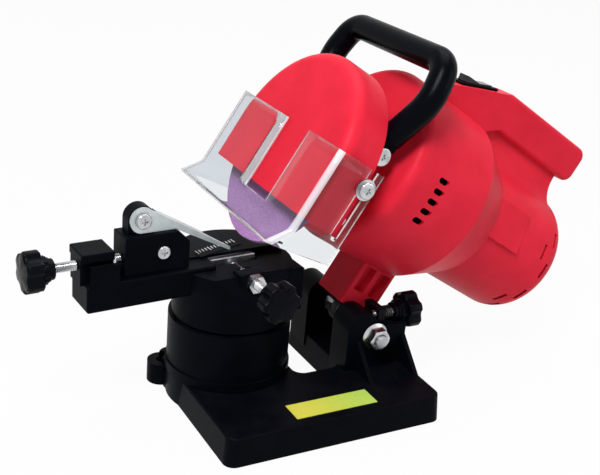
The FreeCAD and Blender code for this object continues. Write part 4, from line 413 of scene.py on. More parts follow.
class Effects:
    """Builds each shared shader group once and places it in materials."""

    def __init__(self) -> None:
        """Writes every group: a vector and numbers go in, numbers come out."""
        self.groups: dict[Effect, bpy.types.NodeTree] = {}
        writers = ((Effect.MOULD_SKIN, self.mould_skin, ("Scale",)),
                   (Effect.SCUFFS, self.scuffs, ("Scale", "Amount")),
                   (Effect.DUST, self.dust, ("Amount",)),
                   (Effect.DRAWN_METAL, self.drawn_metal, ("Scale",)),
                   (Effect.GRIT, self.grit, ("Scale",)))
        for effect, writer, numbers in writers:
            group = bpy.data.node_groups.new(effect.value, "ShaderNodeTree")
            socket = group.interface.new_socket
            socket(name="Vector", in_out="INPUT", socket_type="NodeSocketVector")
            for name in numbers:
                socket(name=name, in_out="INPUT", socket_type="NodeSocketFloat")
            tree = Tree(group)
            results = writer(tree, tree.add("NodeGroupInput").outputs)
            for name in results:
                socket(name=name, in_out="OUTPUT", socket_type="NodeSocketFloat")
            tree.fill(tree.add("NodeGroupOutput"), results)
            self.groups[effect] = group

    def place(self, tree: Tree, effect: Effect, **values: Socket | float) -> Outputs:
        """Places a group in a material's tree, feeds its inputs and gives its outputs.

        Args:
            tree: the material's tree.
            effect: the group.
            values: what each of its inputs is fed or set to.

        Returns:
            The outputs of the placed group.
        """
        return tree.fill(tree.add("ShaderNodeGroup", node_tree=self.groups[effect]), values)

    def rubs(self, tree: Tree, place: Socket, scale: float, amount: float) -> Socket:
        """Mask of the rub marks of a material."""
        return self.place(tree, Effect.SCUFFS, Vector=place, Scale=scale, Amount=amount)["Mask"]

    @staticmethod
    def mould_skin(tree: Tree, given: Outputs) -> dict[str, Socket]:
        """Fine spark-eroded grain of a mould, and a slow drift of tone.

        Args:
            tree: the group's tree.
            given: the outputs of its input node.

        Returns:
            What goes to each output of the group.
        """
        fine = tree.noise(given["Vector"], given["Scale"], 2.0, 0.6)
        slow = tree.noise(given["Vector"], tree.math("MULTIPLY", given["Scale"], 0.02), 3.0)
        return {"Height": tree.steps(fine, 0.35, 0.7), "Tone": slow}

    @staticmethod
    def scuffs(tree: Tree, given: Outputs) -> dict[str, Socket]:
        """Short rub marks: two crossed, stretched noises cut off high.

        Args:
            tree: the group's tree.
            given: the outputs of its input node.

        Returns:
            What goes to each output of the group.
        """
        marks = []
        for turn in ((0.0, 0.3, 0.8), (0.5, 0.9, -0.6)):
            line = tree.stretched(given["Vector"], (1.0, 9.0, 9.0), turn)
            marks.append(tree.steps(tree.noise(line, given["Scale"], 4.0, 0.65), 0.66, 0.78))
        where = tree.steps(tree.noise(given["Vector"], 18.0, 2.0), 0.45, 0.65)
        both = tree.math("MULTIPLY", tree.math("MAXIMUM", *marks), where)
        return {"Mask": tree.math("MULTIPLY", both, given["Amount"], clamp=True)}

    @staticmethod
    def dust(tree: Tree, given: Outputs) -> dict[str, Socket]:
        """Grinding dust: more of it on faces that look up, in soft patches.

        Args:
            tree: the group's tree.
            given: the outputs of its input node.

        Returns:
            What goes to each output of the group.
        """
        facing = tree.split(tree.add("ShaderNodeNewGeometry").outputs["Normal"])
        up = tree.steps(facing["Z"], 0.55, 1.0)
        patch = tree.steps(tree.noise(given["Vector"], 60.0, 5.0, 0.7), 0.35, 0.75)
        both = tree.math("MULTIPLY", up, patch)
        return {"Mask": tree.math("MULTIPLY", both, given["Amount"], clamp=True)}

    @staticmethod
    def drawn_metal(tree: Tree, given: Outputs) -> dict[str, Socket]:
        """Fine lines across the first direction, with cloudy plating.

        Args:
            tree: the group's tree.
            given: the outputs of its input node.

        Returns:
            What goes to each output of the group.
        """
        drawn = tree.stretched(given["Vector"], (14.0, 1.0, 1.0))
        cloud = tree.noise(given["Vector"], tree.math("MULTIPLY", given["Scale"], 0.25), 4.0)
        return {"Height": tree.noise(drawn, given["Scale"], 3.0, 0.7), "Tone": cloud}

    @staticmethod
    def grit(tree: Tree, given: Outputs) -> dict[str, Socket]:
        """Bonded abrasive: packed grains with pores between them.

        Args:
            tree: the group's tree.
            given: the outputs of its input node.

        Returns:
            What goes to each output of the group.
        """
        grains = tree.fill(tree.add("ShaderNodeTexVoronoi", feature="F1"),
                           {"Vector": given["Vector"], "Scale": given["Scale"]})
        pores = tree.noise(given["Vector"], tree.math("MULTIPLY", given["Scale"], 0.6), 3.0, 0.7)
        height = tree.math("SUBTRACT", pores, grains["Distance"])
        return {"Height": height, "Tone": tree.steps(pores, 0.3, 0.75)}


# --- Finishes ---
def started(name: str) -> tuple[Material, Tree, Node]:
    """New material with its tree and its Principled shader.

    Args:
        name: name of the material.

    Returns:
        The material, its tree and its Principled shader.
    """
    material = bpy.data.materials.new(name)
    material.use_nodes = True
    tree = Tree(material.node_tree)
    return material, tree, material.node_tree.nodes["Principled BSDF"]


def relief(tree: Tree, shader: Node, height: Socket, strength: float, depth: float) -> None:
    """Bump that feeds the shader's normal; depth is in metres.

    Args:
        tree: the material's tree.
        shader: its Principled shader.
        height: the height that the bump follows.
        strength: share of the bump that is used.
        depth: height of the bump, in metres.
    """
    values = {"Strength": strength, "Distance": depth, "Height": height}
    bump = tree.fill(tree.add("ShaderNodeBump"), values)
    tree.feed(bump["Normal"], shader.inputs["Normal"])


@dataclass(frozen=True)
class Look:
    """A named finish that writes itself into a material."""

    name: str

    def write(self, effects: Effects, tree: Tree, shader: Node, place: Socket) -> None:
        """Writes the nodes that feed the Principled shader; place holds object coordinates.

        Args:
            effects: the shared shader groups.
            tree: the material's tree.
            shader: its Principled shader.
            place: object coordinates.
        """
        raise NotImplementedError

    def material(self, effects: Effects) -> Material:
        """New material of this finish.

        Args:
            effects: the shared shader groups.

        Returns:
            The material.
        """
        material, tree, shader = started(self.name)
        self.write(effects, tree, shader, tree.coordinates())
        return material


@dataclass(frozen=True)
class Region:
    """Upright box of space, in millimetres of the bench frame at rest."""

    low: Point
    high: Point

    def mask(self, tree: Tree, place: Socket) -> Socket:
        """One inside the box and zero outside, with a soft border of a tenth of a millimetre.

        Args:
            tree: the material's tree.
            place: object coordinates.

        Returns:
            The mask.
        """
        border = 0.1 * MM
        inside = 1.0
        for socket, low, high in zip(tree.split(place), self.low, self.high):
            above = tree.steps(socket, low * MM - border, low * MM)
            below = tree.steps(socket, high * MM, high * MM + border, 1.0, 0.0)
            inside = tree.math("MULTIPLY", inside, tree.math("MULTIPLY", above, below))
        return inside


@dataclass(frozen=True)
class Moulding(Look):
    """Satin moulded plastic with mould grain, rub marks, a little dust and an optional box of painted
    shade.
    """

    colour: Colour
    deep: Colour
    rubbed: Colour
    gloss: tuple[float, float]
    grain: float = 2600.0
    grain_depth: float = 0.00005
    scuffed: float = 0.5
    dusty: float = 0.12
    reflects: float = 0.24
    # Box, and its near-black colour, that paint shade onto the moulding round the depth stop lug under
    # the head.
    painted_shade_box: Region | None = None
    PAINTED_SHADE_COLOUR = (0.004, 0.004, 0.006)
    DUST_COLOUR = (0.42, 0.38, 0.36)
    RUB_SCALE = 90.0
    MARKS_ROUGHEN = 0.25
    RELIEF = 0.35

    def write(self, effects: Effects, tree: Tree, shader: Node, place: Socket) -> None:
        """Writes the nodes.

        Args:
            effects: the shared shader groups.
            tree: the material's tree.
            shader: its Principled shader.
            place: object coordinates.
        """
        skin = effects.place(tree, Effect.MOULD_SKIN, Vector=place, Scale=self.grain)
        rubs = effects.rubs(tree, place, self.RUB_SCALE, self.scuffed)
        dust = effects.place(tree, Effect.DUST, Vector=place, Amount=self.dusty)["Mask"]
        colour = tree.blend(tree.steps(skin["Tone"], 0.3, 0.7), self.deep, self.colour)
        colour = tree.blend(rubs, colour, self.rubbed)
        colour = tree.blend(dust, colour, self.DUST_COLOUR)
        # Painted shade: inside the box the colour goes near-black.
        if self.painted_shade_box:
            colour = tree.blend(self.painted_shade_box.mask(tree, place), colour, self.PAINTED_SHADE_COLOUR)
        marks = tree.math("MULTIPLY", tree.math("ADD", rubs, dust), self.MARKS_ROUGHEN)
        rough = tree.math("ADD", tree.steps(skin["Height"], 0.0, 1.0, *self.gloss), marks, clamp=True)
        tree.fill(shader, {"Base Color": colour, "Roughness": rough,
                           "Specular IOR Level": self.reflects})
        relief(tree, shader, skin["Height"], self.RELIEF, self.grain_depth)


@dataclass(frozen=True)
class Metal(Look):
    """Plated, ground or drawn metal with fine lines and cloudy tone."""

    colour: Colour
    dull: Colour
    gloss: tuple[float, float]
    lines: float = 500.0
    depth: float = 0.00003
    metallic: float = 1.0
    RUB_SCALE = 260.0
    RUB_AMOUNT = 0.6
    MARKS_ROUGHEN = 0.15
    RELIEF = 0.3

    def write(self, effects: Effects, tree: Tree, shader: Node, place: Socket) -> None:
        """Writes the nodes.

        Args:
            effects: the shared shader groups.
            tree: the material's tree.
            shader: its Principled shader.
            place: object coordinates.
        """
        drawn = effects.place(tree, Effect.DRAWN_METAL, Vector=place, Scale=self.lines)
        rubs = effects.rubs(tree, place, self.RUB_SCALE, self.RUB_AMOUNT)
        colour = tree.blend(tree.steps(drawn["Tone"], 0.35, 0.65), self.dull, self.colour)
        rough = tree.steps(drawn["Height"], 0.3, 0.7, *self.gloss)
        marks = tree.math("MULTIPLY", rubs, self.MARKS_ROUGHEN)
        tree.fill(shader, {"Base Color": tree.blend(rubs, colour, self.dull),
                           "Roughness": tree.math("ADD", rough, marks),
                           "Metallic": self.metallic})
        relief(tree, shader, drawn["Height"], self.RELIEF, self.depth)


@dataclass(frozen=True)
class Stone(Look):
    """Bonded abrasive of a grinding wheel."""

    colour: Colour
    pore: Colour
    spark: Colour
    grain: float = 1500.0
    SPECK_SCALE = 1.4
    GLOSS = (0.9, 0.45)
    RELIEF = 0.6
    GRAIN_DEPTH = 0.0002

    def write(self, effects: Effects, tree: Tree, shader: Node, place: Socket) -> None:
        """Writes the nodes.

        Args:
            effects: the shared shader groups.
            tree: the material's tree.
            shader: its Principled shader.
            place: object coordinates.
        """
        grit = effects.place(tree, Effect.GRIT, Vector=place, Scale=self.grain)
        speck = tree.steps(tree.noise(place, self.grain * self.SPECK_SCALE, 1.0), 0.62, 0.72)
        colour = tree.blend(grit["Tone"], self.pore, self.colour)
        sparkling = tree.blend(tree.math("MULTIPLY", speck, 0.5), colour, self.spark)
        tree.fill(shader, {"Base Color": sparkling,
                           "Roughness": tree.steps(speck, 0.0, 1.0, *self.GLOSS)})
        relief(tree, shader, grit["Height"], self.RELIEF, self.GRAIN_DEPTH)


@dataclass(frozen=True)
class Clear(Look):
    """Clear bent sheet with a faint haze of fine scratches; it casts a pale shadow."""

    tint: Colour
    haze: float
    SCRATCHED = (0.8, 0.8, 0.82)
    TO_BOUNCED_LIGHT = (0.06, 0.06, 0.06)
    BENDS_LIGHT = 1.09
    COAT = 0.3
    COAT_ROUGH = 0.03
    SHADOW_LET_THROUGH = 0.94
    RUB_SCALE = 160.0
    CLOUD_SCALE = 24.0

    def write(self, effects: Effects, tree: Tree, shader: Node, place: Socket) -> None:
        """Writes the nodes.

        Args:
            effects: the shared shader groups.
            tree: the material's tree.
            shader: its Principled shader.
            place: object coordinates.
        """
        rubs = effects.rubs(tree, place, self.RUB_SCALE, 1.0)
        cloud = tree.noise(place, self.CLOUD_SCALE, 3.0)
        cloud = tree.steps(cloud, 0.3, 0.7, self.haze * 0.5, self.haze)
        path = tree.add("ShaderNodeLightPath").outputs
        tint = tree.blend(tree.math("MULTIPLY", rubs, 0.3), self.tint, self.SCRATCHED)
        tint = tree.blend(path["Is Diffuse Ray"], tint, self.TO_BOUNCED_LIGHT)
        shadow = tree.math("MULTIPLY", path["Is Shadow Ray"], self.SHADOW_LET_THROUGH)
        tree.fill(shader, {"Base Color": tint,
                           "Roughness": tree.math("ADD", cloud, tree.math("MULTIPLY", rubs, 0.12)),
                           "Alpha": tree.math("SUBTRACT", 1.0, shadow),
                           "Transmission Weight": 1.0, "IOR": self.BENDS_LIGHT,
                           "Coat Weight": self.COAT, "Coat Roughness": self.COAT_ROUGH})


@dataclass(frozen=True)
class CutEdge(Look):
    """Cut or folded edge of a clear sheet, which gathers light and looks cloudy white; on the folds
    the near-white colour is also a painted highlight.
    """

    bright: Colour
    shaded: Colour
    solid: float
    LINES = 36.0
    GLOSS = (0.12, 0.3)

    def write(self, effects: Effects, tree: Tree, shader: Node, place: Socket) -> None:
        """Writes the nodes.

        Args:
            effects: the shared shader groups.
            tree: the material's tree.
            shader: its Principled shader.
            place: object coordinates.
        """
        drawn = effects.place(tree, Effect.DRAWN_METAL, Vector=place, Scale=self.LINES)
        tone = tree.steps(drawn["Tone"], 0.35, 0.65)
        solid = tree.math("MULTIPLY", tree.steps(tone, 0.0, 1.0, 0.8, 1.0), self.solid)
        # Painted highlight in part: near-white, nearly opaque colour on the folds and cut rims.
        tree.fill(shader, {"Base Color": tree.blend(tone, self.shaded, self.bright),
                           "Roughness": tree.steps(drawn["Height"], 0.3, 0.7, *self.GLOSS),
                           "Alpha": solid, "Coat Weight": 1.0})


@dataclass(frozen=True)
class Sticker(Look):
    """Blank printed sticker: a drift from yellow to green with rub marks."""

    left: Colour
    right: Colour
    start: float
    end: float
    PALE = (0.85, 0.86, 0.55)
    WORN = (0.5, 0.52, 0.35)
    PRINT_SCALE = 900.0
    RUB_SCALE = 120.0
    GLOSS = (0.38, 0.5)

    def write(self, effects: Effects, tree: Tree, shader: Node, place: Socket) -> None:
        """Writes the nodes.

        Args:
            effects: the shared shader groups.
            tree: the material's tree.
            shader: its Principled shader.
            place: object coordinates.
        """
        share = tree.steps(tree.split(place)["X"], self.start, self.end)
        print_tone = tree.noise(place, self.PRINT_SCALE, 2.0)
        colour = tree.blend(share, self.left, self.right)
        colour = tree.blend(tree.steps(print_tone, 0.2, 0.8, 0.0, 0.18), colour, self.PALE)
        rubs = effects.rubs(tree, place, self.RUB_SCALE, 0.5)
        tree.fill(shader, {"Base Color": tree.blend(rubs, colour, self.WORN),
                           "Roughness": tree.steps(print_tone, 0.2, 0.8, *self.GLOSS)})
        relief(tree, shader, print_tone, 0.2, 0.00002)


class Finish(Enum):
    """Every finish on the sharpener."""

    RED = Moulding("red_moulding", (0.72, 0.0205, 0.046), (0.65, 0.017, 0.038), (0.78, 0.09, 0.12),
                   (0.36, 0.48), dusty=0.01, scuffed=0.2, reflects=0.06,
                   # Painted shade: near-black on the red round the depth stop lug, under the head.
                   painted_shade_box=Region((90, -33, 46), (96, -15.2, 56)))
    BLACK = Moulding("black_moulding", (0.0019, 0.0024, 0.0046), (0.0013, 0.0016, 0.0031),
                     (0.014, 0.014, 0.018), (0.34, 0.46), dusty=0.006, scuffed=0.35, reflects=0.022)
    KNOB = Moulding("knob_moulding", (0.0018, 0.0022, 0.0042), (0.0012, 0.0014, 0.0028),
                    (0.014, 0.014, 0.017), (0.2, 0.3), dusty=0.003, reflects=0.045)
    GRIP = Moulding("handle_moulding", (0.0012, 0.0016, 0.0034), (0.0008, 0.0011, 0.0024),
                    (0.012, 0.012, 0.016), (0.18, 0.26), dusty=0.002, reflects=0.035)
    GLOSS = Moulding("rocker_gloss", (0.004, 0.004, 0.0048), (0.003, 0.003, 0.0035),
                     (0.016, 0.016, 0.016), (0.14, 0.22), dusty=0.0, scuffed=0.2, reflects=0.4)
    RUBBER = Moulding("black_rubber", (0.012, 0.012, 0.012), (0.008, 0.008, 0.008),
                      (0.03, 0.03, 0.03), (0.62, 0.8), grain=1800.0, grain_depth=0.0001)
    NYLON = Moulding("gear_case_nylon", (0.07, 0.07, 0.07), (0.05, 0.05, 0.05), (0.15, 0.15, 0.15),
                     (0.45, 0.6))
    ZINC = Metal("zinc_plate", (0.60, 0.61, 0.62), (0.42, 0.43, 0.45), (0.16, 0.28))
    JAW = Metal("ground_jaw_steel", (0.58, 0.58, 0.6), (0.4, 0.4, 0.42), (0.22, 0.38), lines=900.0)
    SHEET = Metal("zinc_sheet", (0.62, 0.68, 0.68), (0.5, 0.55, 0.56), (0.34, 0.5), lines=260.0)
    SPRING = Metal("oiled_spring_steel", (0.06, 0.06, 0.065), (0.03, 0.03, 0.03), (0.3, 0.45))
    STEEL = Metal("ground_steel", (0.6, 0.6, 0.61), (0.42, 0.42, 0.43), (0.2, 0.35))
    CORE = Metal("stacked_core_steel", (0.2, 0.2, 0.22), (0.1, 0.1, 0.1), (0.4, 0.6), lines=1500.0)
    ALUMINIUM = Metal("turned_aluminium", (0.68, 0.69, 0.7), (0.55, 0.56, 0.57), (0.28, 0.42))
    BRASS = Metal("plain_brass", (0.72, 0.5, 0.2), (0.5, 0.33, 0.12), (0.25, 0.4))
    CARBON = Metal("pressed_carbon", (0.03, 0.03, 0.03), (0.02, 0.02, 0.02), (0.5, 0.7), metallic=0.0)
    WHEEL = Stone("lilac_abrasive", (0.42, 0.21, 0.47), (0.25, 0.11, 0.3), (0.8, 0.7, 0.85))
    SHIELD = Clear("clear_sheet", (0.8, 0.83, 0.855), 0.05)
    # Near-white edge colours: cloudy edge, and a painted highlight along the folds.
    SHIELD_EDGE = CutEdge("clear_sheet_edge", (0.97, 0.97, 0.99), (0.8, 0.81, 0.86), 0.72)
    LABEL = Sticker("blank_sticker", (0.66, 0.62, 0.02), (0.42, 0.66, 0.06), 0.012, 0.066)
    PRINT = Moulding("white_print", (0.72, 0.72, 0.72), (0.6, 0.6, 0.6), (0.3, 0.3, 0.3), (0.5, 0.6))


CAD_FINISHES = {
    Finish.RED: ("housing_near", "housing_far", "guard_cover", "guard_backplate"),
    Finish.BLACK: ("base_stand", "vise_turret", "chain_stop_carrier", "angle_lock_sleeve",
                   "switch_body", "cooling_fan", "angle_scale"),
    Finish.KNOB: ("adjusting_knob", "clamp_knob", "depth_stop_knob", "angle_lock_knob"),
    Finish.GRIP: ("handle",),
    Finish.GLOSS: ("switch_rocker",),
    Finish.RUBBER: ("cord_gland",),
    Finish.NYLON: ("bearing_plate",),
    Finish.ZINC: ("pivot_bolt", "pivot_flange_nut", "pivot_washers", "clamp_nut", "adjusting_nut",
                  "angle_lock_stud", "screw_retainer", "adjusting_screw", "pawl_pivot_screw",
                  "clamp_screw", "housing_screws", "guard_screws", "shield_washers", "shield_screws",
                  "handle_screws", "spindle_nut", "depth_stop_screw"),
    Finish.JAW: ("fixed_jaw", "moving_jaw"),
    Finish.SHEET: ("chain_stop_pawl",),
    Finish.SPRING: ("return_spring", "depth_stop_spring"),
    Finish.STEEL: ("spindle_bearings", "motor_bearings", "spindle", "spindle_gear", "motor_shaft",
                   "motor_pinion"),
    Finish.CORE: ("stator", "armature_core"),
    Finish.ALUMINIUM: ("inner_flange", "outer_flange"),
    Finish.BRASS: ("commutator", "brush_holders"),
    Finish.CARBON: ("carbon_brushes",),
    Finish.WHEEL: ("grinding_wheel",),
    Finish.SHIELD: ("shield",),
    Finish.LABEL: ("blank_label",),
}


class Workshop:
    """Holds the effects and finishes, and puts pieces in place."""

    def __init__(self) -> None:
        """Starts with the shared effects and no materials."""
        self.effects = Effects()
        self.materials: dict[Finish, Material] = {}

    def finish(self, finish: Finish) -> Material:
        """Material of a finish, written on first use.

        Args:
            finish: the finish.

        Returns:
            Its material.
        """
        if finish not in self.materials:
            self.materials[finish] = finish.value.material(self.effects)
        return self.materials[finish]

    def dress(self, piece: Object, finish: Finish) -> None:
        """Gives a piece one finish."""
        piece.data.materials.clear()
        piece.data.materials.append(self.finish(finish))

    def fit(self, piece: Object, finish: Finish, body: Rides, slot: str, *nodes: str) -> None:
        """Dresses a piece, lets it ride on a body and reports it.

        Args:
            piece: the new piece.
            finish: its finish.
            body: the body that it rides on.
            slot: the record's material slot; not used.
            nodes: the solids that it stands for.
        """
        self.dress(piece, finish)
        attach(piece, body.value)
        if nodes:
            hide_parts(*nodes)
        log.info("%s: %d faces on %s", piece.name, len(piece.data.polygons), body.value)

    def dress_solids(self) -> None:
        """Gives every solid of the frame its finish."""
        for finish, nodes in CAD_FINISHES.items():
            for node in nodes:
                self.dress(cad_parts[node], finish)


# --- Knobs, screws and a spring ---
@dataclass(frozen=True)
class StarKnob:
    """Six-lobed knob with a crowned face and a stepped, fluted hub; it stands on its face."""

    radius: float = 12.5
    thick: float = 11.0
    hollow_radius: float = 6.0
    hollow_offset: float = 16.5
    softness: float = 0.45
    edge: float = 1.7
    crown: float = 1.1
    collar: float = 8.3
    collar_length: float = 3.4
    flute: float = 0.5
    flutes: int = 12
    hub: float = 7.0
    hub_step: float = 0.8
    hub_end: float = 18.4
    chamfer: float = 0.4
    bore: float = 3.1
    lobes: int = 6
    points: int = 180

    def outline(self, angle: Array) -> Array:
        """Radius of the star at an angle.

        The hollow of radius a round a centre at distance c meets a ray at
        c cos f - sqrt(a^2 - c^2 sin^2 f), where f is the angle from the hollow; the star is the
        softened lesser of that and the lobe radius.

        Args:
            angle: angles round the knob.

        Returns:
            The radius at each of them.
        """
        off = folded(angle, self.lobes)
        inside = np.maximum(self.hollow_radius ** 2 - (self.hollow_offset * np.sin(off)) ** 2, 0)
        hollow = self.hollow_offset * np.cos(off) - np.sqrt(inside)
        well_outside = self.radius + 3
        hollow = np.where(inside > 0, hollow, well_outside)
        soft = self.softness
        return -soft * np.log(np.exp(-self.radius / soft) + np.exp(-hollow / soft))

    def build(self, name: str, axes: Axes) -> Object:
        """Surface over rows of radius a star + b + c flutes, each at its own height.

        Args:
            name: name of the piece.
            axes: frame with the origin at the middle of the face and the third axis towards the hub.

        Returns:
            The knob.
        """
        angle = full_turn(self.points)
        star = self.outline(angle)
        flute = 0.5 + 0.5 * np.tanh(3 * np.cos(self.flutes * angle))
        face = (0, 0.3, 0.55, 0.75, 0.88)
        rows = [(s, 0, 0, self.crown * (s / face[-1]) ** 2 * 0.8) for s in face]
        bend = [(1 - math.sin(q), 1 - math.cos(q)) for q in np.radians(np.linspace(0, 90, 7))]
        rows += [(1, -self.edge * a, 0, self.crown + self.edge * b) for a, b in bend]
        rows += [(1, -self.edge * b, 0, self.thick - self.edge * a) for a, b in bend]
        low, mid, top = self.thick, self.thick + self.collar_length, self.hub_end
        fluted, stepped = self.collar - self.flute, self.hub - self.hub_step
        rows += [(0, self.collar, 0, low), (0, fluted, self.flute, low + 0.2),
                 (0, fluted, self.flute, mid - 0.3), (0, self.collar - 0.8, 0.3, mid),
                 (0, self.hub, 0, mid), (0, self.hub, 0, mid + 1.4), (0, stepped, 0, mid + 1.5),
                 (0, stepped, 0, top - self.chamfer), (0, stepped - self.chamfer, 0, top),
                 (0, self.bore, 0, top), (0, self.bore, 0, low), (0, 0, 0, low)]
        share = np.array(rows)
        radius = share[:, :1] * star + share[:, 1:2] + share[:, 2:3] * flute
        return piece_of(name, [(axes.place(rings(radius, angle, share[:, 3:])), True)], smooth=40)


@dataclass(frozen=True)
class Knobs:
    """One star knob at three places; the lock knob under the turret keeps its solid."""

    adjusting: Axes = along(VISE, (-133, 0, 102.5), "+x")
    clamp: Axes = along(VISE, (-2, -65.5, 88), "+y")
    stop: Axes = along(BENCH, (122, -27, 50), "-x")

    def build(self, shop: Workshop) -> None:
        """Adjusting, clamp and depth stop knobs.

        Args:
            shop: what dresses the pieces and puts them in place.
        """
        star = StarKnob()
        for name, axes, body, node in (
                ("Adjusting_Knob", self.adjusting, Rides.ADJUSTER, "adjusting_knob"),
                ("Clamp_Knob", self.clamp, Rides.CLAMP, "clamp_knob"),
                ("Depth_Stop_Knob", self.stop, Rides.STOP_GRIP, "depth_stop_knob")):
            shop.fit(star.build(name, axes), Finish.KNOB, body, "black_plastic", node)


@dataclass(frozen=True)
class Screws:
    """Threaded rods of M6 size."""

    adjusting: Axes = along(VISE, (-129.7, 0, 102.5), "+x")
    clamp: Axes = along(VISE, (-2, -62.5, 88), "+y")
    stop: Axes = along(BENCH, (88.8, -27, 50), "+x")
    radius: float = 3.0
    pitch: float = 1.0
    depth: float = 0.6
    flat: float = 0.8
    end_slope: float = 1.6
    points: int = 28
    rows_per_turn: int = 6
    groove_radius: float = 1.8
    adjusting_groove: tuple[float, float] = (75.8, 80.6)
    adjusting_length: float = 84.0
    clamp_threaded: float = 57.4
    clamp_length: float = 60.1
    tip_radius: float = 1.5
    stop_length: float = 30.0
    chamfer: float = 0.3
    overlap: float = 0.5

    def pin(self, axes: Axes, radius: float, start: float, end: float) -> tuple[Array, bool]:
        """Closed round pin with a small chamfer at its far end.

        Args:
            axes: frame whose third axis the pin runs along.
            radius: radius of the pin.
            start: where it starts along the axis.
            end: where it ends.

        Returns:
            The surface as a grid of closed rings, in metres, and that they are closed.
        """
        profile = np.array([(0, start), (radius, start), (radius, end - self.chamfer),
                            (radius - self.chamfer, end), (0, end)])
        return axes.place(rings(profile[:, :1], full_turn(32), profile[:, 1:])), True

    def rod(self, axes: Axes, length: float) -> tuple[Array, bool]:
        """Thread with flat, chamfered ends, from the frame's origin along its third axis.

        The radius at angle a and height z is radius - depth |2 frac(z / pitch - a / 2 pi) - 1|, and
        near both ends not more than the chamfer leaves.

        Args:
            axes: the frame.
            length: length of the thread, in millimetres.

        Returns:
            The surface as a grid of closed rings, in metres, and that they are closed.
        """
        angle = full_turn(self.points)
        height = np.arange(0, length + 1e-9, self.pitch / self.rows_per_turn)[:, None]
        wave = np.abs(2 * ((height / self.pitch - angle / (2 * np.pi)) % 1) - 1)
        rim = np.clip(np.minimum(height, length - height) / self.pitch, 0, 1)
        crest = self.radius * (self.flat + (1 - self.flat) * np.minimum(1, rim * self.end_slope))
        ring = rings(np.minimum(self.radius - self.depth * wave, crest), angle, height)
        inner, middle = np.array([0.6, 0.6, 1]), np.array([0, 0, 1])
        rows = ring[:1] * middle, ring[:1] * inner, ring, ring[-1:] * inner, ring[-1:] * middle
        return axes.place(np.concatenate(rows)), True

    def build(self, shop: Workshop) -> None:
        """Adjusting, clamp and depth stop screws with real threads.

        Args:
            shop: what dresses the pieces and puts them in place.
        """
        start, end = self.adjusting_groove
        grids = [self.rod(self.adjusting, start),
                 self.pin(self.adjusting, self.groove_radius,
                          start - self.overlap, end + self.overlap),
                 self.pin(self.adjusting, self.radius, end, self.adjusting_length)]
        shop.fit(piece_of("Adjusting_Screw", grids),
                 Finish.ZINC, Rides.ADJUSTER, "zinc", "adjusting_screw")
        start, end = self.clamp_threaded, self.clamp_length
        grids = [self.rod(self.clamp, start),
                 self.pin(self.clamp, self.tip_radius, start - self.overlap, end)]
        shop.fit(piece_of("Clamp_Screw", grids), Finish.ZINC, Rides.CLAMP, "zinc", "clamp_screw")
        grids = [self.rod(self.stop, self.stop_length)]
        shop.fit(piece_of("Depth_Stop_Screw", grids),
                 Finish.ZINC, Rides.STOP, "zinc", "depth_stop_screw")


@dataclass(frozen=True)
class FlangeNut:
    """Hexagon nut with a round flange and chamfered corners, on the hinge bolt."""

    axes: Axes = along(BENCH, (85.7, -37, 40.5), "-y")
    flats: float = 13.0
    flange: float = 9.0
    flange_edge: float = 0.3
    flange_height: float = 1.3
    height: float = 8.0
    bore: float = 4.1

    def build(self, shop: Workshop) -> None:
        """Surface over rows of rings.

        A ring is either a circle, or the hexagon radius (flats / 2) / cos f cut back to a limit, where
        f is the angle from the middle of a flat.

        Args:
            shop: what dresses the pieces and puts them in place.
        """
        angle = full_turn(96)
        hexagon = self.flats / 2 / np.cos(folded(angle, 6))
        corner, top = self.flats / math.sqrt(3), self.height
        edge, deck = self.flange_edge, self.flange_height
        rows = np.array([(0, self.bore, 0), (0, self.flange - edge, 0), (0, self.flange, edge),
                         (0, self.flange, deck - edge), (0, self.flange - edge, deck),
                         (1, corner, 2.0), (1, corner, top - 1.0), (1, corner - 0.35, top - 0.55),
                         (1, corner - 0.8, top - 0.2), (1, self.flats / 2 - 0.35, top),
                         (0, self.bore + 0.5, top), (0, self.bore, top - 0.5), (0, self.bore, 0)])
        hexagonal, limit, height = rows[:, :1] > 0, rows[:, 1:2], rows[:, 2:]
        grid = rings(np.where(hexagonal, np.minimum(hexagon, limit), limit), angle, height)
        shop.fit(piece_of("Hinge_Nut", [(self.axes.place(grid), True)], smooth=28),
                 Finish.ZINC, Rides.BASE, "zinc", "pivot_flange_nut")


@dataclass(frozen=True)
class StopSpring:
    """Open coil round the depth stop screw, short of the knob also when that is screwed right in."""

    axes: Axes = along(BENCH, (0, -27, 50), "+x")
    coil_radius: float = 4.3
    wire: float = 0.6
    turns: int = 4
    start: float = 96.2
    end: float = 102.4
    sides: int = 12

    def build(self, shop: Workshop) -> None:
        """Tube round a helix.

        At share t the middle of the wire is (R cos a, R sin a, start + (end - start) t), with
        a = 2 pi turns t. A ring of the tube lies in the plane of the outward direction and the one
        square to it and to the wire.

        Args:
            shop: what dresses the pieces and puts them in place.
        """
        share = np.linspace(0, 1, 24 * self.turns + 1)
        angle = 2 * np.pi * self.turns * share
        level = self.start + (self.end - self.start) * share
        outward, middle = rings(1, angle, 0), rings(self.coil_radius, angle, level)
        run = np.gradient(middle, axis=0)
        run /= np.linalg.norm(run, axis=1, keepdims=True)
        across = np.cross(run, outward)
        ring = full_turn(self.sides)[None, :, None]
        round_wire = np.cos(ring) * outward[:, None] + np.sin(ring) * across[:, None]
        tube = middle[:, None] + self.wire * round_wire
        grid = np.concatenate([0 * tube[:1] + middle[0], tube, 0 * tube[-1:] + middle[-1]])
        shop.fit(piece_of("Stop_Spring", [(self.axes.place(grid), True)]),
                 Finish.SPRING, Rides.HEAD, "spring_steel", "depth_stop_spring")


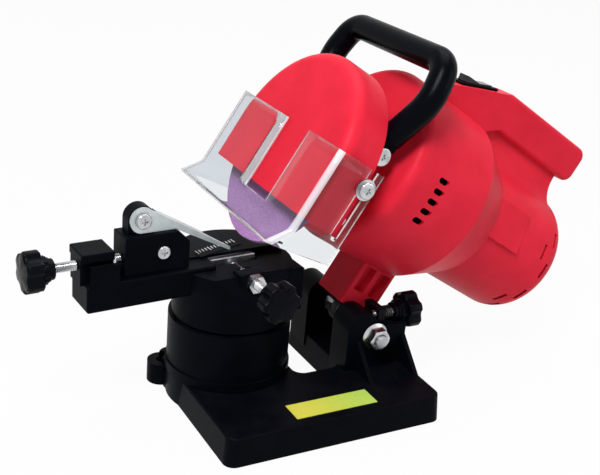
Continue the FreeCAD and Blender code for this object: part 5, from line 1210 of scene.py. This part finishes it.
# --- Shield and scale ---
@dataclass(frozen=True)
class ShieldSheet:
    """Clear sheet bent round the guard: open-topped front, two slotted side plates, a flared lip."""

    front: float = -15.6
    half: float = 62.4
    fold: float = 2.4
    back: float = 19.0
    top: float = 22.0
    lip_start: float = -31.0
    lip_reach: float = 10.0
    front_drop: float = 12.0
    back_drop: float = 7.0
    window: tuple[float, float] = (-25.0, 2.0)
    window_floor: float = -26.0
    slot: tuple[float, float] = (8.9, 14.1)
    slot_floor: float = -22.0
    softness: float = 0.01
    thick: float = 1.5

    def path(self) -> Array:
        """Points (w, u) along the middle of the sheet, from one back edge to the other."""
        reach = [self.back, self.slot[1], self.slot[0], 4.0, -2.0, -8.0]
        side = np.array([(w, -self.half) for w in reach])
        corner = arc((self.front + self.fold, self.fold - self.half), self.fold, 270, 180, 7)
        near = np.concatenate([side, corner])
        across = np.array([-48.0, -36.0, self.window[0], -12.0, self.window[1], 16.0, 32.0, 48.0])
        face = np.stack([np.full_like(across, self.front), across], -1)
        return np.concatenate([near, face, near[::-1] * [1, -1]])

    def levels(self, share: Array) -> tuple[Array, Array]:
        """Level and forward shift of every point, by its share of the way from back to front.

        Below the start of the lip, t counts from 0 to 1 and the front moves forward by reach times
        (t + sqrt(t^2 + e)) / 2, which is a soft bend; shift and extra depth fade to the back.

        Args:
            share: for each point of the path, zero at the back and one at the front.

        Returns:
            Two arrays of rows x columns, in millimetres.
        """
        upper = np.array([self.top, 12, 4, -6, -14, self.slot_floor, self.window_floor])
        lip = np.append(np.linspace(-0.2, 0.3, 9), [0.5, 0.75, 1])
        t = np.append((self.lip_start - upper) / self.front_drop, lip)[:, None]
        drop = self.back_drop + (self.front_drop - self.back_drop) * share
        level = self.lip_start - t * np.where(t > 0, drop, self.front_drop)
        return level, self.lip_reach * (t + np.sqrt(t ** 2 + self.softness)) / 2 * share

    def openings(self, path: Array, level: Array) -> tuple[Mask, Mask]:
        """Which quads are left by the window and the slots, and which columns of quads are folds.

        Args:
            path: points (w, u) of the path.
            level: level of every point.

        Returns:
            A mask of rows x columns of quads, and one of columns.
        """
        middle = (path[:-1] + path[1:]) / 2
        height = (level[:-1] + level[1:])[:, :-1] / 2
        in_front = np.abs(middle[:, 0] - self.front) < 0.01
        on_side = np.abs(np.abs(middle[:, 1]) - self.half) < 0.01
        window = in_front & (middle[:, 1] > self.window[0]) & (middle[:, 1] < self.window[1])
        slots = on_side & (middle[:, 0] > self.slot[0]) & (middle[:, 0] < self.slot[1])
        cut = (window & (height > self.window_floor)) | (slots & (height > self.slot_floor))
        return ~cut, ~in_front & ~on_side

    def build(self, shop: Workshop) -> None:
        """Sheet over the path and the levels, with cloudy white cut edges, and folds painted
        near-white as a highlight.

        Args:
            shop: what dresses the pieces and puts them in place.
        """
        path = self.path()
        level, shift = self.levels((self.back - path[:, 0]) / (self.back - self.front))
        keep, folds = self.openings(path, level)
        grid = np.stack([path[:, 0] - shift, path[:, 1] + 0 * level, level], -1)
        piece = piece_of("Clear_Shield", [(HEAD.place(grid), False)], 50, keep)
        shop.fit(piece, Finish.SHIELD, Rides.SHIELD, "clear_plastic", "shield")
        piece.data.materials.append(shop.finish(Finish.SHIELD_EDGE))
        # The folds and the cut rims take the edge finish: cloudy white, partly a painted highlight.
        cloudy_and_highlit = np.broadcast_to(folds, keep.shape)[keep]
        piece.data.polygons.foreach_set("material_index", cloudy_and_highlit.astype(np.int32))
        wall = piece.modifiers.new("Sheet", "SOLIDIFY")
        wall.thickness, wall.offset = self.thick * MM, 0
        wall.use_even_offset = True
        wall.material_offset_rim = 1


@dataclass(frozen=True)
class Ticks:
    """Slanted ticks printed on the angle scale."""

    corner: Point = (-23.0, 3.4, 94.8)
    turn: float = 19.5
    count: int = 13
    pitch: float = 2.5
    first: float = 2.0
    width: float = 0.7
    lean: float = 0.9
    tall: tuple[float, float] = (0.9, 5.6)
    short: tuple[float, float] = (1.9, 5.2)
    tall_every: int = 4
    sunk: float = 0.05
    proud: float = 0.07
    rounding: float = 0.03

    def build(self, shop: Workshop) -> None:
        """One thin slanted bar for each tick, some of them longer.

        Args:
            shop: what dresses the pieces and puts them in place.
        """
        origin = tuple(VISE.place(np.array(self.corner)) / MM)
        axes = replace(turned_about_z(self.turn), origin=origin)
        grids = []
        for number in range(self.count):
            low, high = self.short if number % self.tall_every else self.tall
            left = self.first + number * self.pitch
            bar = left + np.array([0, self.width, self.width + self.lean, self.lean])
            bar = np.stack([bar, [low, low, high, high]], -1)
            grids.append((slab(bar, -self.sunk, self.proud, self.rounding, axes), True))
        shop.fit(piece_of("Scale_Ticks", grids), Finish.PRINT, Rides.VISE, "scale_print")


# --- Studio ---
@dataclass(frozen=True)
class Lamp:
    """Square soft light at a place, aimed at a point; size in metres and power in watts."""

    name: str
    place: Point
    aim: Point
    size: float
    power: float


@dataclass(frozen=True)
class Studio:
    """Camera, floor and soft light; lengths are metres and angles degrees."""

    azimuth: float = 30.0
    elevation: float = 22.6
    roll: float = 5.1
    eye: Point = (-0.2684, -0.5444, 0.3603)
    lens: float = 64.8
    sensor: float = 36.0
    clip: tuple[float, float] = (0.01, 50.0)
    floor_half: float = 6.0
    floor_level: float = -0.0002
    floor_tones: tuple[Colour, Colour] = ((0.62, 0.62, 0.62), (0.66, 0.66, 0.66))
    floor_rough: float = 0.9
    floor_glow: float = 0.95
    sky_lights: float = 0.2
    sky_shows: float = 1.0
    lamps: tuple[Lamp, ...] = (Lamp("Key", (-0.66, -0.66, 1.45), (0.07, 0, 0.1), 0.5, 27.0),
                               Lamp("Top", (0.35, 0.25, 1.35), (0.07, 0, 0.12), 0.9, 8.0),
                               Lamp("Side", (1.1, -0.9, 0.55), (0.1, 0, 0.1), 0.7, 2.5))

    @staticmethod
    def stand(data: bpy.types.ID, right: Array, up: Array, back: Array,
              place: Point) -> Object:
        """Object of a camera or lamp, by three directions and its place.

        Args:
            data: the camera's or lamp's data.
            right: direction to its right.
            up: direction upwards.
            back: direction away from what it looks at.
            place: its place.

        Returns:
            The object, linked to the scene.
        """
        turn = np.eye(4)
        turn[:3] = np.stack([right, up, back, place], -1)
        item = bpy.data.objects.new(data.name, data)
        item.matrix_world = Matrix(turn.tolist())
        bpy.context.scene.collection.objects.link(item)
        return item

    def camera(self) -> None:
        """Camera at the viewing angle, rolled a little so that the tool leans right."""
        a, e, r = (math.radians(x) for x in (self.azimuth, self.elevation, self.roll))
        right = np.array([math.cos(a), -math.sin(a), 0])
        up = np.array([math.sin(a) * math.sin(e), math.cos(a) * math.sin(e), math.cos(e)])
        back = -np.array([math.sin(a) * math.cos(e), math.cos(a) * math.cos(e), -math.sin(e)])
        right, up = right * math.cos(r) + up * math.sin(r), up * math.cos(r) - right * math.sin(r)
        data = bpy.data.cameras.new("Camera")
        data.lens, data.sensor_width = self.lens, self.sensor
        data.clip_start, data.clip_end = self.clip
        bpy.context.scene.camera = self.stand(data, right, up, back, self.eye)

    def light(self, lamp: Lamp) -> None:
        """Puts up a lamp, level from side to side.

        Args:
            lamp: the lamp.
        """
        data = bpy.data.lights.new(lamp.name, "AREA")
        data.shape, data.size, data.energy = "SQUARE", lamp.size, lamp.power
        back = np.array(lamp.place) - np.array(lamp.aim)
        back /= np.linalg.norm(back)
        side = np.cross([0.0, 0.0, 1.0], back)
        side /= np.linalg.norm(side)
        self.stand(data, side, np.cross(back, side), back, lamp.place)

    def floor(self) -> None:
        """Pale floor that shows white and keeps a soft shadow."""
        side = np.linspace(-self.floor_half, self.floor_half, 5)
        x, y = np.meshgrid(side, side)
        floor = piece_of("Floor", [(np.stack([x, y, 0 * x + self.floor_level], -1), False)])
        material, tree, shader = started("pale_floor")
        tone = tree.blend(tree.noise(tree.coordinates(), 6.0, 3.0), *self.floor_tones)
        tree.fill(shader, {"Base Color": tone, "Roughness": self.floor_rough})
        glow = tree.add("ShaderNodeEmission")
        mix = tree.add("ShaderNodeMixShader")
        share = tree.math("MULTIPLY", tree.seen(), self.floor_glow)
        for source, target in zip((share, shader.outputs[0], glow.outputs[0]), mix.inputs):
            tree.feed(source, target)
        tree.fill(material.node_tree.nodes["Material Output"], {"Surface": mix.outputs[0]})
        floor.data.materials.append(material)

    def sky(self) -> None:
        """White surroundings where they are seen, plain grey where they only light."""
        world = bpy.data.worlds.new("Studio")
        world.use_nodes = True
        bpy.context.scene.world = world
        tree = Tree(world.node_tree)
        strength = tree.steps(tree.seen(), 0, 1, self.sky_lights, self.sky_shows)
        tree.fill(world.node_tree.nodes["Background"], {"Color": (1, 1, 1), "Strength": strength})

    def build(self) -> None:
        """Sets up the whole studio."""
        self.camera()
        self.floor()
        self.sky()
        for lamp in self.lamps:
            self.light(lamp)
        bpy.context.scene.view_settings.view_transform = "Standard"


def main() -> None:
    """Builds the sharpener's looks piece by piece."""
    logging.basicConfig(level=logging.INFO, format="%(name)s %(message)s")
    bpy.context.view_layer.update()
    shop = Workshop()
    shop.dress_solids()
    for part in (Knobs(), Screws(), FlangeNut(), StopSpring(), ShieldSheet(), Ticks()):
        part.build(shop)
    Studio().build()


if __name__ == "__main__":
    main()
